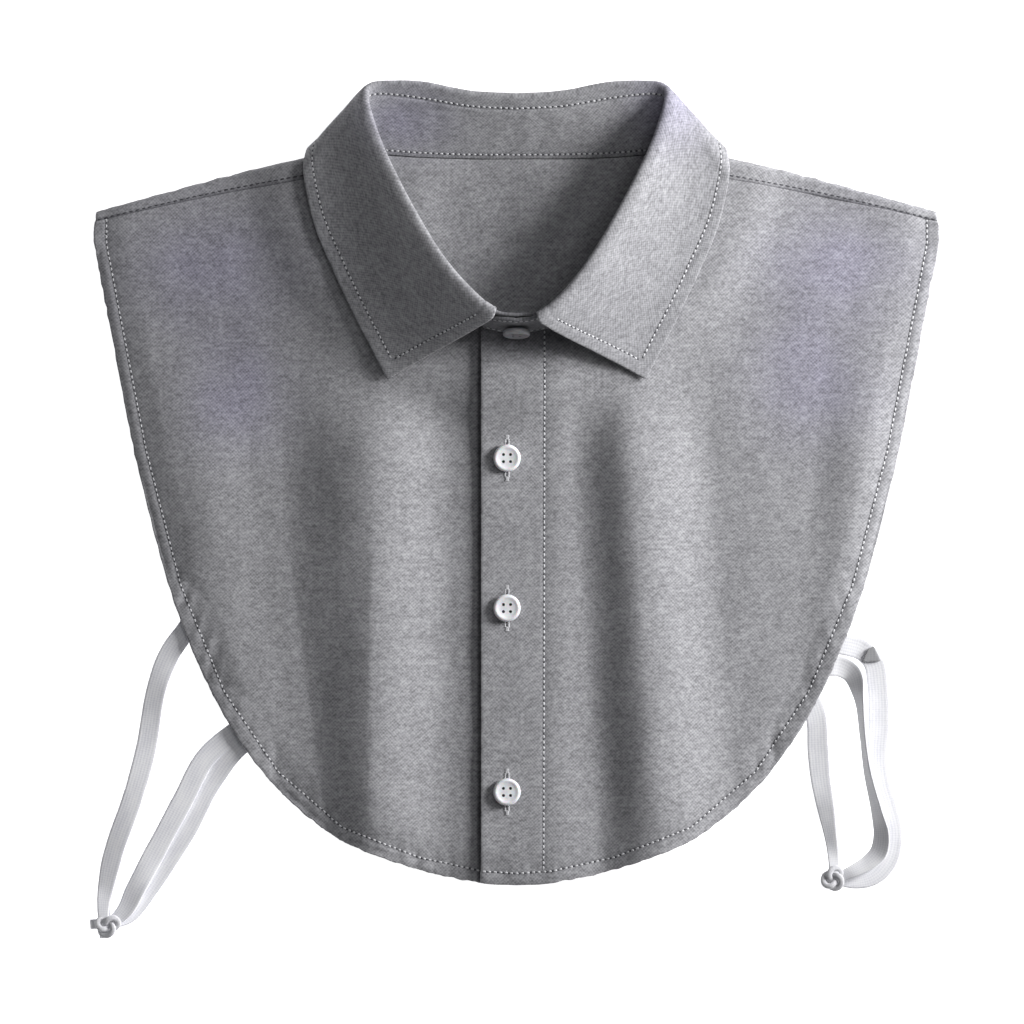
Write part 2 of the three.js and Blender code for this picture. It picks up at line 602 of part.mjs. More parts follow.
// Collar leaf
const leafStations = [];
for (const at of steps(1, lastSection, 22)) leafStations.push([-1, at]);
for (const at of steps(lastSection, 1, 22).slice(1)) leafStations.push([1, at]);
const leafRows = leafStations.map(([side, at]) => {
  return steps(0, leafSpan, leafSpan).map((step) => leafPoint(side, at, step));
});
add("collar_leaf", wall(leafRows, collarThick), materials.cloth);

// Buttons
function buttonSolid() {
  const edge = 0.7;
  const profile = [
    [0, 0],
    [buttonRadius - edge, 0],
    [buttonRadius, edge],
    [buttonRadius, buttonThick - edge],
    [buttonRadius - edge, buttonThick],
    [buttonDishRadius, buttonThick],
    [buttonDishRadius - buttonDish, buttonThick - buttonDish],
    [0, buttonThick - buttonDish],
  ];
  const lathe = new THREE.LatheGeometry(profile.map(([x, y]) => new THREE.Vector2(x, y)), 18);
  lathe.rotateX(Math.PI / 2);
  const plain = new THREE.BufferGeometry();
  plain.setAttribute("position", lathe.attributes.position);
  plain.setIndex(lathe.index);
  let solid = solidOf(plain);
  for (const turn of [0, 1, 2, 3]) {
    const angle = Math.PI / 4 + (turn * Math.PI) / 2;
    const hole = Manifold.cylinder(buttonThick * 3, threadHole, threadHole, 6, true);
    const away = [Math.cos(angle) * threadSpread, Math.sin(angle) * threadSpread, 0];
    solid = solid.subtract(hole.translate(away));
  }
  return geometryOf(solid);
}
const buttonShape = buttonSolid();

function surfaceFrame(alongX, alongY) {
  const normal = alongX.clone().cross(alongY).normalize();
  const across = alongX.clone().normalize();
  const matrix = new THREE.Matrix4().makeBasis(across, normal.clone().cross(across), normal);
  return { matrix, normal };
}

buttonY.forEach((y, i) => {
  const height = (x, v) => vec(x, v, frontHeight(x, v) + lapLift * lapAt(x));
  const point = height(buttonAside, y);
  const right = height(buttonAside + 5, y).sub(height(buttonAside - 5, y));
  const up = height(buttonAside, y + 5).sub(height(buttonAside, y - 5));
  const frame = surfaceFrame(right, up);
  const geometry = buttonShape.clone();
  geometry.applyMatrix4(frame.matrix);
  const rise = point.addScaledVector(frame.normal, clothThick / 2 + clearance * 2);
  geometry.translate(rise.x, rise.y, rise.z);
  add("button_" + (i + 1), geometry, materials.pearl);
});

// The neck button on the stand's outer end
{
  const middle = standPoint(1, 0, 0.42);
  const up = standPoint(1, 0, 0.8).sub(standPoint(1, 0, 0.2)).normalize();
  const frame = surfaceFrame(vec(1, 0, 0), up);
  const out = frame.normal.y < 0 ? 1 : -1;
  const geometry = buttonShape.clone();
  if (out < 0) geometry.rotateX(Math.PI);
  geometry.applyMatrix4(frame.matrix);
  const p = middle.addScaledVector(frame.normal, out * (collarThick / 2 + clearance * 2));
  geometry.translate(p.x, p.y, p.z);
  add("button_neck", geometry, materials.pearl);
}

// Side tapes. A course bends in plan, and a second course runs back from its end on another level. Where
// a tape leans over, its lower edge keeps the level.
function tapeStops(course) {
  const plan = new THREE.CatmullRomCurve3(course.map((stop) => tapeSpot(stop)), false, "centripetal");
  const last = course.length - 1;
  return steps(0, 1, last * 2).map((t) => {
    const p = plan.getPoint(t);
    const heading = plan.getTangent(t);
    const level = Math.max(0, reading(course.map((stop) => stop.level), t * last));
    const lean = (Math.max(0, reading(course.map((stop) => stop.turn), t * last)) * Math.PI) / 180;
    p.z = tapeThick / 2 + level * (tapeThick + clearance) + (tapeWidth / 2) * Math.sin(lean);
    const side = vec(-heading.y, heading.x).multiplyScalar(Math.cos(lean));
    side.z = Math.sin(lean);
    return { p, side, heading };
  });
}

function tape(name, out, back) {
  const stops = tapeStops(out);
  const returning = tapeStops(back).reverse();
  const turn = stops[stops.length - 1];
  const from = turn.p.z;
  const to = returning[0].p.z;
  const radius = Math.abs(from - to) / 2;
  for (const angle of steps(0, Math.PI, 6).slice(1, -1)) {
    const p = turn.p.clone().addScaledVector(turn.heading, radius * Math.sin(angle));
    p.z = (from + to) / 2 + ((from - to) / 2) * Math.cos(angle);
    stops.push({ p, side: turn.side });
  }
  stops.push(...returning);
  const rows = stops.map((stop) => {
    return [-0.5, 0.5].map((w) => stop.p.clone().addScaledVector(stop.side, w * tapeWidth));
  });
  add(name, wall(rows, tapeThick), materials.elastic);
}
tape("strap_tab_left", tapeCourses.leftTab, tapeCourses.leftTabReturn);
tape("strap_loop_left", tapeCourses.leftLoopUnder, tapeCourses.leftLoopOver);
tape("strap_tab_right", tapeCourses.rightTab, tapeCourses.rightTabReturn);
tape("strap_loop_right", tapeCourses.rightLoopUnder, tapeCourses.rightLoopOver);

part.updateMatrixWorld(true);
const box = new THREE.Box3().setFromObject(part);
const shift = vec(-(box.min.x + box.max.x) / 2, -(box.min.y + box.max.y) / 2, -box.min.z);
for (const mesh of part.children) mesh.geometry.translate(shift.x, shift.y, shift.z);

export default part;
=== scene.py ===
"""A detachable shirt collar on a short bib, laid flat and buttoned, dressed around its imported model."""

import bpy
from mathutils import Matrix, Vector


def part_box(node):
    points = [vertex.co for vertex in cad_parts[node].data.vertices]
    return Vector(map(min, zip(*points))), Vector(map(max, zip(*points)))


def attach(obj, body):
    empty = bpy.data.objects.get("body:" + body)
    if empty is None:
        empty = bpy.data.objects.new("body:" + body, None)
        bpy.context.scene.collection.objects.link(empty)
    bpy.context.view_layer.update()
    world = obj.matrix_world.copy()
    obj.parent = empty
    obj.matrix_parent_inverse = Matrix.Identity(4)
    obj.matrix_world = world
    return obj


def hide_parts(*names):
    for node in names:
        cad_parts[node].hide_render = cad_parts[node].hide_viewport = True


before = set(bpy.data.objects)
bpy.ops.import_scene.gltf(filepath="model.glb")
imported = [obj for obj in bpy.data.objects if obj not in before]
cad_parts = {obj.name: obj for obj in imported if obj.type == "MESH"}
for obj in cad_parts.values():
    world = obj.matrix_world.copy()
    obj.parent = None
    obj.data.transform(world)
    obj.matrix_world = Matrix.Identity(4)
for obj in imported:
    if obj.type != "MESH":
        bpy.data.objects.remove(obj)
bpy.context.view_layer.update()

import math

import bmesh
import bpy
import numpy as np
from mathutils import Matrix, Vector

MM = 0.001
rng = np.random.default_rng(7)

# Sizes in millimetres, as in the solids
CLOTH = 1.2
COLLAR = 1.6
FACING = 1.0
CLEAR = 0.3
SEAM_LIFT = 1.0
SHOULDER_HALF = 169
BIB_LENGTH = 268
SHOULDER_RISE = 25.8
SHOULDER_BULGE = 1.2
NECK_HALF = 66.8
NECK_DROP = 71.4
BACK_INSET = 5
SEAM_FORWARD = 9.4
SEAM_FORWARD_TIP = 3.2
NECK_HIGH = 12
NECK_REACH = 52
BACK_HIGH = 4.2
HEM_DROOP = 14
BAND_HALF = 14
FACING_REACH = 0.8
LAP_FADE = 24
FOLD_HALF = 60.6
FOLD_DEPTH = 97.2
COLLAR_HIGH = 38.2
STAND_SHARE = 0.86
LEAF_HALF = 87.5
POINT_DROP = 20
LEAF_DEPTH = 92
FOLD_ROLL = 4.2
LEAF_HOVER = 1.3
BUTTON_ASIDE = -3.8
BUTTON_STEPS = (52, 60, 73.5)
TAPE_WIDTH = 8
TAPE_THICK = 1

NECK_POINT_Y = BIB_LENGTH + SHOULDER_RISE
FRONT_NECK_Y = NECK_POINT_Y - NECK_DROP
LAP_OUT = COLLAR + CLEAR
LAP_LIFT = CLOTH + FACING + CLEAR * 3.6
LEAF_FLOOR = COLLAR / 2
BACK_FLOOR = CLOTH / 2
BACK_OVER_LEAF = COLLAR + CLEAR * 4 + BACK_FLOOR

# Sewing, finish and stitches in millimetres
HEM = 4.3
STITCH_PITCH = 2.2
STITCH_LONG = 1.35
STITCH_WIDE = 0.85
STITCH_HIGH = 0.34
LEAF_HEM = 5.0
STAND_HEM = 1.6
COLLAR_SHOWN = 1.4
BACK_SHOWN = 0.9
HOLE_HALF = 7.6
RIM_RINGS = 3

# The picture: its size and middle in pixels, a pixel in millimetres, and a row's height on the bib
PICTURE = 1024
MIDDLE_COLUMN = 516.5
PIXEL = 0.4
LEVEL_ROW = 510
LEVEL_UP = 149.6

# The rays and sections of the solids and their folds, here a little deeper, as shares of the sizes above
FRONT_RAYS = np.array([
    # neck across, neck up, hem across, hem up
    (0.0, 0.0, 0.0, 0.0),
    (BAND_HALF / NECK_HALF, 0.03, BAND_HALF / SHOULDER_HALF, 0.003),
    (0.48, 0.16, 0.237, 0.024),
    (0.69, 0.322, 0.426, 0.071),
    (0.838, 0.476, 0.585, 0.157),
    (0.92, 0.588, 0.715, 0.28),
    (0.966, 0.68, 0.819, 0.44),
    (0.99, 0.756, 0.903, 0.646),
    (0.998, 0.812, 0.961, 0.836),
    (1.0, 0.842, 0.997, 0.955),
])
BACK_RAYS = np.array([
    # neck across, neck down, hem across, hem up
    (0.87, 0.03, 0.945, 0.835),
    (0.74, 0.04, 0.886, 0.645),
    (0.6, 0.05, 0.803, 0.44),
    (0.46, 0.055, 0.702, 0.28),
    (0.34, 0.058, 0.578, 0.157),
    (0.22, 0.06, 0.4, 0.065),
    (0.11, 0.06, 0.2, 0.017),
    (0.0, 0.06, 0.0, 0.0),
])
FRONT_FOLDS = (
    # across at the top, across at the hem, top, inner width, outer width,
    # height, share left at the hem, crease
    (-0.34, -0.35, 0.86, 0.2, 0.16, 0.69, 0.82, 0.6),
    (0.25, 0.34, 0.86, 0.145, 0.2, 0.73, 0.88, 0.0),
    (-0.8, -0.6, 0.86, 0.13, 0.13, 0.13, 0.5, 0.0),
    (0.86, 0.72, 0.9, 0.12, 0.1, 0.2, 0.4, 0.0),
)
ON_TABLE = LEAF_FLOOR / COLLAR_HIGH
ON_FRONT = None
SECTIONS = (
    # neck at, fold across, fold up, fold high, edge across, edge up, edge high, roll, fall, land, aim
    (0.0, 0.0, 0.056, 1.0, 0.52, -0.12, ON_FRONT, 1.0, 38, 12, 1),
    (0.05, 0.142, 0.074, 0.995, 0.587, 0.0, ON_FRONT, 1.0, 38, 12, 1),
    (0.117, 0.307, 0.156, 0.976, 0.654, 0.124, ON_FRONT, 1.0, 40, 12, 0.8),
    (0.24, 0.505, 0.3, 0.916, 0.737, 0.277, ON_FRONT, 1.0, 42, 12, 0.6),
    (0.355, 0.703, 0.506, 0.812, 0.83, 0.465, ON_FRONT, 0.95, 42, 10, 0.6),
    (0.455, 0.868, 0.712, 0.68, 0.909, 0.641, ON_FRONT, 0.9, 40, 8, 0.6),
    (0.528, 0.954, 0.856, 0.602, 0.955, 0.81, ON_FRONT, 0.9, 36, 8, 0.6),
    (0.572, 0.985, 0.94, 0.537, 0.967, 0.91, ON_FRONT, 0.6, 34, 14, 0.9),
    (0.606, 0.968, 0.976, 0.497, 0.945, 0.998, 0.16, 0.4, 40, 30, 1),
    (0.667, 0.88, 0.99, 0.46, 0.9, 0.91, ON_TABLE, 0.4, 75, 0, 0.8),
    (0.767, 0.637, 0.974, 0.45, 0.754, 0.804, ON_TABLE, 0.72, 92, 0, 0),
    (0.88, 0.307, 0.937, 0.455, 0.38, 0.796, ON_TABLE, 0.72, 94, 0, 0),
    (1.0, 0.0, 0.925, 0.46, 0.0, 0.796, ON_TABLE, 0.72, 94, 0, 0),
)
COLUMNS = ("neck_at", "fold_across", "fold_up", "fold_high", "edge_across", "edge_up", "edge_high",
           "roll", "fall", "land", "aim")
LAST = len(SECTIONS) - 1

# The tapes' stops, near those of the solids: across, up, and then level and turn where they aren't 0
TAPES = {
    "left_tab": (
        (-0.746, 0.431, 1.3), (-0.760, 0.410, 1.3), (-0.775, 0.387, 0.9), (-0.822, 0.343, 0.1, 4),
        (-0.853, 0.290, 0, 12), (-0.878, 0.200), (-0.911, 0.125, 0, 4), (-0.952, 0.051, 0, 12),
        (-0.972, -0.004, 1.2, 12), (-0.978, -0.034, 3), (-0.976, -0.075, 3),
    ),
    "left_tab_return": ((-0.974, -0.030, 1), (-0.976, -0.075, 1)),
    "left_loop_under": (
        (-0.586, 0.233, 1.3), (-0.633, 0.216, 1.3), (-0.666, 0.200, 0.9), (-0.722, 0.152),
        (-0.776, 0.087), (-0.845, 0.018), (-0.889, -0.022), (-0.923, -0.049), (-0.964, -0.058),
        (-1.000, -0.060),
    ),
    "left_loop_over": (
        (-0.568, 0.265, 1.3), (-0.615, 0.250, 1.3), (-0.657, 0.231, 0.9), (-0.736, 0.188, 1),
        (-0.788, 0.127, 1), (-0.861, 0.041, 1), (-0.902, -0.008, 1.3, 16), (-0.929, -0.041, 2, 8),
        (-0.964, -0.058, 2), (-1.000, -0.060, 2),
    ),
    "right_tab": (
        (0.688, 0.300, 1.3), (0.695, 0.280, 1.3), (0.710, 0.246, 0.9), (0.714, 0.201, 0.1),
        (0.720, 0.157), (0.735, 0.104, 0, 15), (0.746, 0.063, 1.2, 20), (0.751, 0.034, 3),
        (0.752, -0.003, 3),
    ),
    "right_tab_return": ((0.751, 0.034, 1), (0.752, -0.003, 1)),
    "right_loop_under": (
        (0.704, 0.366, 1.3), (0.740, 0.361, 1.3), (0.775, 0.357, 0.9), (0.815, 0.350), (0.845, 0.331),
        (0.855, 0.298), (0.858, 0.240), (0.854, 0.190), (0.860, 0.150), (0.878, 0.110), (0.890, 0.075),
        (0.880, 0.038), (0.846, 0.012), (0.800, 0.003), (0.757, 0.006), (0.732, 0.008),
    ),
    "right_loop_over": (
        (0.710, 0.328, 1.3), (0.728, 0.326, 1.3), (0.763, 0.325, 0.9), (0.795, 0.313, 0, 20),
        (0.811, 0.276, 0, 65), (0.820, 0.222, 0, 76), (0.831, 0.168, 0.3, 72), (0.853, 0.108, 1, 60),
        (0.864, 0.073, 1, 40), (0.857, 0.047, 1, 30), (0.832, 0.031, 1.3, 30), (0.793, 0.018, 2, 20),
        (0.757, 0.009, 2), (0.732, 0.009, 2),
    ),
}


# Numbers
def mix(a, b, t):
    return a + (b - a) * t


def share(a, b, x):
    return np.clip((np.asarray(x, float) - a) / (b - a), 0, 1)


def ease(a, b, x):
    s = share(a, b, x)
    return s * s * (3 - 2 * s)


def reading(values, at):
    """Smooth reading of a column of numbers, or of rows of numbers, at row positions."""
    values = np.asarray(values, float)
    at = np.asarray(at, float)
    last = len(values) - 1
    i = np.clip(np.floor(at).astype(int), 0, last - 1)
    t = at - i
    a, b = values[np.maximum(0, i - 1)], values[i]
    c, d = values[i + 1], values[np.minimum(last, i + 2)]
    out_b = np.where(i > 0, (c - a) / 2, c - b)
    out_c = np.where(i + 2 <= last, (d - b) / 2, c - b)
    t2, t3 = t * t, t * t * t
    return (2 * t3 - 3 * t2 + 1) * b + (t3 - 2 * t2 + t) * out_b + (3 * t2 - 2 * t3) * c + (t3 - t2) * out_c


def plan_distance(x, y, line):
    """Distance in plan to a line of the right half. Places on the left are mirrored first."""
    x, y = np.abs(np.asarray(x, float)), np.asarray(y, float)
    best = np.full(np.broadcast(x, y).shape, np.inf)
    for (ax, ay), (bx, by) in zip(line[:-1], line[1:]):
        dx, dy = bx - ax, by - ay
        t = np.clip(((x - ax) * dx + (y - ay) * dy) / ((dx * dx + dy * dy) or 1), 0, 1)
        best = np.minimum(best, np.hypot(x - ax - dx * t, y - ay - dy * t))
    return best


def stack(x, y, z):
    return np.stack(np.broadcast_arrays(x, y, z), axis=-1).astype(float)


def unit(v):
    return v / np.maximum(np.linalg.norm(v, axis=-1, keepdims=True), 1e-9)


def curve_points(points, at):
    """A centripetal Catmull-Rom curve through points, read at row positions."""
    p = np.asarray(points, float)
    p = np.vstack([2 * p[0] - p[1], p, 2 * p[-1] - p[-2]])
    at = np.asarray(at, float)
    i = np.clip(np.floor(at).astype(int), 0, len(p) - 4)
    w = (at - i)[:, None]
    a, b, c, d = p[i], p[i + 1], p[i + 2], p[i + 3]
    step = [np.sqrt(np.linalg.norm(e - s, axis=1))[:, None] for s, e in ((a, b), (b, c), (c, d))]
    dt1 = np.where(step[1] < 1e-4, 1, step[1])
    dt0 = np.where(step[0] < 1e-4, dt1, step[0])
    dt2 = np.where(step[2] < 1e-4, dt1, step[2])
    t1 = ((b - a) / dt0 - (c - a) / (dt0 + dt1) + (c - b) / dt1) * dt1
    t2 = ((c - b) / dt1 - (d - b) / (dt1 + dt2) + (d - c) / dt2) * dt1
    return b + t1 * w + (-3 * b + 3 * c - 2 * t1 - t2) * w**2 + (2 * b - 2 * c + t1 + t2) * w**3


# The bib in plan
FOLD_NECK, FOLD_HEM = (NECK_HALF, NECK_POINT_Y), (SHOULDER_HALF, BIB_LENGTH)
FRONT_NECKS = [(a * NECK_HALF, FRONT_NECK_Y + b * NECK_DROP) for a, b, _, _ in FRONT_RAYS]
FRONT_NECKS.append((NECK_HALF, NECK_POINT_Y - SEAM_FORWARD))
FRONT_HEMS = [(c * SHOULDER_HALF, d * BIB_LENGTH) for _, _, c, d in FRONT_RAYS]
FRONT_HEMS.append((SHOULDER_HALF - 0.6, BIB_LENGTH - SEAM_FORWARD_TIP))
BACK_NECKS = [(a * NECK_HALF, NECK_POINT_Y - b * NECK_DROP) for a, b, _, _ in BACK_RAYS]
BACK_HEMS = [(c * (SHOULDER_HALF - BACK_INSET), mix(BACK_INSET * 1.4, BIB_LENGTH, d))
             for _, _, c, d in BACK_RAYS]
SEAM_ROW = len(FRONT_RAYS)
NECK_LOOP = FRONT_NECKS + [FOLD_NECK] + BACK_NECKS
TAPE_SPOTS = [(c[2][0] * SHOULDER_HALF, c[2][1] * BIB_LENGTH) for c in TAPES.values() if len(c) > 2]


def between(necks, hems, at, u):
    """Across and up for places between the neck (u 0) and the hem (u 1) on rays at row positions."""
    necks, hems = np.array(necks), np.array(hems)
    return [mix(reading(necks[:, k], at), reading(hems[:, k], at), u) for k in (0, 1)]


def lap_at(x):
    return 1 - ease(BAND_HALF + 1, BAND_HALF + 1 + LAP_FADE, x)


def back_height(x, y):
    d = plan_distance(x, y, NECK_LOOP)
    over_leaf = (BACK_OVER_LEAF - BACK_FLOOR) * (1 - ease(24, 42, d))
    return BACK_FLOOR + over_leaf + (BACK_HIGH - BACK_OVER_LEAF) * (1 - ease(0, 12, d))


def folds_at(x, y):
    high = 0
    for top_across, hem_across, top, inner, outer, amount, at_hem, crease in FRONT_FOLDS:
        along = share(0, top * BIB_LENGTH, y)
        middle = mix(hem_across, top_across, along) * SHOULDER_HALF
        away = (x - middle) * np.sign(middle)
        width = np.where(away < 0, inner, outer * (1 + 2 * crease * (along - 0.4))) * SHOULDER_HALF
        off = np.minimum(1, np.abs(away) / width)
        sharp = crease * (away > 0) * (1 - ease(0.5, 0.72, along))
        across = mix(0.5 + 0.5 * np.cos(np.pi * off), 1 - off, sharp)
        start = 1 - ease(0.7, 1, y / (top * BIB_LENGTH))
        high = high + amount * NECK_HIGH * across * start * mix(at_hem, 1, ease(0, 0.4, along))
    return high


def front_height(x, y):
    rim = plan_distance(x, y, FRONT_HEMS)
    at_shoulder = 1 - ease(8, 34, plan_distance(x, y, (FOLD_NECK, FOLD_HEM)))
    over_back = (CLOTH + CLEAR * 2) * np.maximum(ease(-3, BACK_INSET - 2.2, rim), at_shoulder)
    inside = (TAPE_THICK + CLEAR) * ease(2, HEM_DROOP, rim)
    over_tape = 0
    for sx, sy in TAPE_SPOTS:
        reach = 1 - ease(9, 34, np.hypot(x - sx, y - sy))
        over_tape = np.maximum(over_tape, (CLOTH + TAPE_THICK + CLEAR * 3) * reach)
    base = back_height(x, y) + np.maximum(over_back + inside, over_tape)
    neck_level = NECK_HIGH * mix(1, 0.8, share(FRONT_NECK_Y, NECK_POINT_Y, y))
    rise = (neck_level - base) * (1 - ease(0, NECK_REACH, plan_distance(x, y, NECK_LOOP)))
    return base + np.maximum(0, rise) + folds_at(x, y) * mix(0.8, 1, ease(0, 22, rim))


def over_point(x, y):
    """Points of the over front above the given places."""
    x, y = np.asarray(x, float), np.asarray(y, float)
    return stack(x, y, front_height(x, y) + LAP_LIFT * lap_at(x))


def front_point(side, ray, u):
    """Points of a front panel, the under front for side -1 and the over front for side 1."""
    ray, u = np.broadcast_arrays(np.asarray(ray, float), np.asarray(u, float))
    x, y = between(FRONT_NECKS, FRONT_HEMS, np.abs(ray), u)
    x = x * np.where(ray < 0, -1, 1) * side
    y = y + SHOULDER_BULGE * 4 * u * (1 - u) * ease(SEAM_ROW - 2, SEAM_ROW, ray)
    if side < 0:
        return stack(x, y, front_height(x, y))
    return over_point(x, y - LAP_OUT * lap_at(x) * (1 - u))


def shoulder_point(across, u):
    """Points of the back panel's strip over the right shoulder, from the seam (0) to its under side (1)."""
    u = np.asarray(u, float)
    fold = stack(mix(FOLD_NECK[0], FOLD_HEM[0], u),
                 mix(FOLD_NECK[1], FOLD_HEM[1], u) + SHOULDER_BULGE * 4 * u * (1 - u), 0)
    seam = front_point(-1, SEAM_ROW, u)
    start = stack(-seam[:, 0], seam[:, 1], 0)
    low, high = back_height(fold[:, 0], fold[:, 1]), seam[:, 2]
    half = (high - low) / 2
    deep = np.maximum(1.5, half * 0.95)[:, None]
    gap = (CLEAR / np.linalg.norm(fold - start, axis=1))[:, None]
    inward = unit(start - fold)
    turn = 0.35
    if across < turn:
        p = mix(start, fold + inward * deep, mix(gap, 1, across / turn))
        p[:, 2] = high
        return p
    angle = math.pi * (across - turn) / (1 - turn)
    p = fold + inward * deep * (1 - math.sin(angle))
    p[:, 2] = low + half * (1 + math.cos(angle))
    return p


def back_point(ray, u):
    """Points of the back panel's right half, its rays from the shoulder seam (0) to the middle back."""
    u = np.asarray(u, float)
    if ray <= 1:
        return shoulder_point(ray, u)
    at = np.full(u.shape, min(len(BACK_RAYS) - 1, max(0, ray - 2)), float)
    x, y = between(BACK_NECKS, BACK_HEMS, at, u)
    if ray < 2:
        first = shoulder_point(1, u)
        x, y = mix(first[:, 0], x, ray - 1), mix(first[:, 1], y, ray - 1)
    return stack(x, y, back_height(x, y))


# The collar
def neck_curve(side):
    rays = [*np.arange(0, SEAM_ROW, 0.5), SEAM_ROW]
    points = [front_point(side, ray, [0.0])[0] for ray in rays]
    points += [shoulder_point(across, [0.0])[0] for across in (0.35, 0.6, 0.8, 1)]
    points += [back_point(ray, [0.0])[0] for ray in range(2, len(BACK_RAYS) + 2)]
    points = np.array(points)
    points[:, 0] = np.abs(points[:, 0]) * side
    return points


def lengths_of(line):
    """Distances of a line's points from its start, along it."""
    return np.concatenate([[0], np.cumsum(np.linalg.norm(np.diff(line, axis=0), axis=1))])


def length_table(points):
    at = np.linspace(0, len(points) - 1, 201)
    return at, lengths_of(curve_points(points, at))


NECK_CURVES = {side: neck_curve(side) for side in (-1, 1)}
NECK_TABLES = {side: length_table(NECK_CURVES[side]) for side in (-1, 1)}


def section(name, at):
    column = [row[COLUMNS.index(name)] for row in SECTIONS]
    return reading(column, at)


def mirrored_before(function):
    """Row positions below 0 lie past the middle front, mirrored."""
    def wrapped(side, at):
        at = np.asarray(at, float)
        p = function(side, np.abs(at))
        p[..., 0] *= np.where(at < 0, -1, 1)
        return p
    return wrapped


@mirrored_before
def neck_point(side, at):
    rows, lengths = NECK_TABLES[side]
    wanted = np.clip(section("neck_at", at), 0, 1) * lengths[-1]
    return curve_points(NECK_CURVES[side], np.interp(wanted, lengths, rows))


@mirrored_before
def fold_point(side, at):
    x = section("fold_across", at) * FOLD_HALF * side
    lap = lap_at(x) * (at < 7) if side > 0 else 0 * x
    y = FRONT_NECK_Y + section("fold_up", at) * FOLD_DEPTH - LAP_OUT * lap
    return stack(x, y, section("fold_high", at) * COLLAR_HIGH + lap * CLEAR)


def stand_point(side, at, high):
    neck, fold = neck_point(side, at), fold_point(side, at)
    length = np.linalg.norm(fold - neck, axis=-1, keepdims=True)
    start = SEAM_LIFT + CLOTH / 2 * 0.6
    return neck + unit(fold - neck) * mix(start, length * STAND_SHARE, np.asarray(high, float)[..., None])


def fold_outward(side, at):
    a = fold_point(side, np.maximum(-1, at - 0.3))
    b = fold_point(side, np.minimum(LAST, at + 0.3))
    along = b - a
    out = unit(stack(along[..., 1], -along[..., 0], 0)) * side
    out[at > LAST - 0.02] = (0, 1, 0)
    return out


def leaf_edge(side, at):
    x = section("edge_across", at) * LEAF_HALF * side
    y = FRONT_NECK_Y - POINT_DROP + section("edge_up", at) * LEAF_DEPTH
    lap = lap_at(x) * LAP_LIFT if side > 0 else 0
    on_front = front_height(x, y) + lap + CLOTH / 2 + LEAF_HOVER + COLLAR / 2
    high = np.empty_like(x)
    for k, here in enumerate(at):
        levels = [on_front[k] if row[6] is None else row[6] * COLLAR_HIGH for row in SECTIONS]
        high[k] = reading(levels, here)
    return stack(x, y, np.maximum(LEAF_FLOOR, high))


def bezier(a, b, c, d, t):
    s = 1 - t
    return a * s**3 + b * (3 * s * s * t) + c * (3 * s * t * t) + d * t**3


def leaf_grid(side, at):
    """Sections of the leaf at row positions: a rise to the fold, a roll and a fall to the edge."""
    neck, fold = neck_point(side, at), fold_point(side, at)
    up = unit(fold - neck)
    length = np.linalg.norm(fold - neck, axis=-1, keepdims=True)
    edge = leaf_edge(side, at)
    to_edge = edge - fold
    to_edge[:, 2] = 0
    to_edge = unit(to_edge)
    out = fold_outward(side, at)
    leave = unit(mix(out, to_edge, section("aim", at)[:, None]))
    leaving = np.radians(section("fall", at))[:, None]
    landing = np.radians(np.maximum(0, section("land", at)))[:, None]
    z = np.array([0, 0, 1])
    down = leave * np.cos(leaving) - z * np.sin(leaving)
    arrive = to_edge * np.cos(landing) - z * np.sin(landing)
    width = FOLD_ROLL * section("roll", at)[:, None]
    seam, far = neck + up * (length * STAND_SHARE + CLEAR * 1.6), fold + out * width
    reach = np.linalg.norm(far - edge, axis=1, keepdims=True) * 0.34
    rise, roll, fall = (np.linspace(0, 1, count) for count in (5, 10, 45))
    rows = [mix(seam, fold, t) for t in rise]
    rows += [bezier(fold, fold + up * width * 0.6, far - down * width * 0.6, far, t) for t in roll[1:]]
    rows += [bezier(far, far + down * reach, edge - arrive * reach, edge, t) for t in fall[1:]]
    grid = np.stack(rows, axis=1)
    grid[..., 2] = np.maximum(grid[..., 2], LEAF_FLOOR)
    return grid


# Meshes
middle = sum(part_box("button_1"), Vector()) / 2
SHIFT = np.array([middle.x / MM - BUTTON_ASIDE, middle.y / MM - (FRONT_NECK_Y - BUTTON_STEPS[0]), 0])


def to_frame(points):
    return (np.asarray(points, float) + SHIFT) * MM


def grid_normals(grid):
    return unit(np.cross(np.gradient(grid, axis=0), np.gradient(grid, axis=1)))


def smooth_noise(x, y, size, seed, octaves=2):
    """Soft random waves of about the given size in millimetres, between about -1 and 1."""
    r = np.random.default_rng(seed)
    total, weight = 0, 0
    for octave in range(octaves):
        for _ in range(7):
            angle, phase = r.uniform(0, 2 * math.pi, 2)
            k = 2 * math.pi / (size * r.uniform(0.7, 1.5)) * 2**octave
            total = total + np.sin((x * math.cos(angle) + y * math.sin(angle)) * k + phase) / 2**octave
        weight += 7**0.5 / 2**octave
    return total / weight


def place_object(name, data):
    obj = bpy.data.objects.new(name, data)
    bpy.context.scene.collection.objects.link(obj)
    return obj


def new_object(name, points, faces, uv=None, attributes=None, smooth=True):
    mesh = bpy.data.meshes.new(name)
    mesh.from_pydata(to_frame(points).tolist(), [], faces if isinstance(faces, list) else faces.tolist())
    if uv is not None:
        layer = mesh.uv_layers.new(name="UVMap")
        loops = np.empty(len(mesh.loops), np.int32)
        mesh.loops.foreach_get("vertex_index", loops)
        layer.data.foreach_set("uv", np.asarray(uv, np.float32)[loops].ravel())
    for key, values in (attributes or {}).items():
        attribute = mesh.attributes.new(key, "FLOAT", "POINT")
        attribute.data.foreach_set("value", np.asarray(values, np.float32))
    if smooth:
        mesh.polygons.foreach_set("use_smooth", np.ones(len(mesh.polygons), bool))
    mesh.update()
    return place_object(name, mesh)


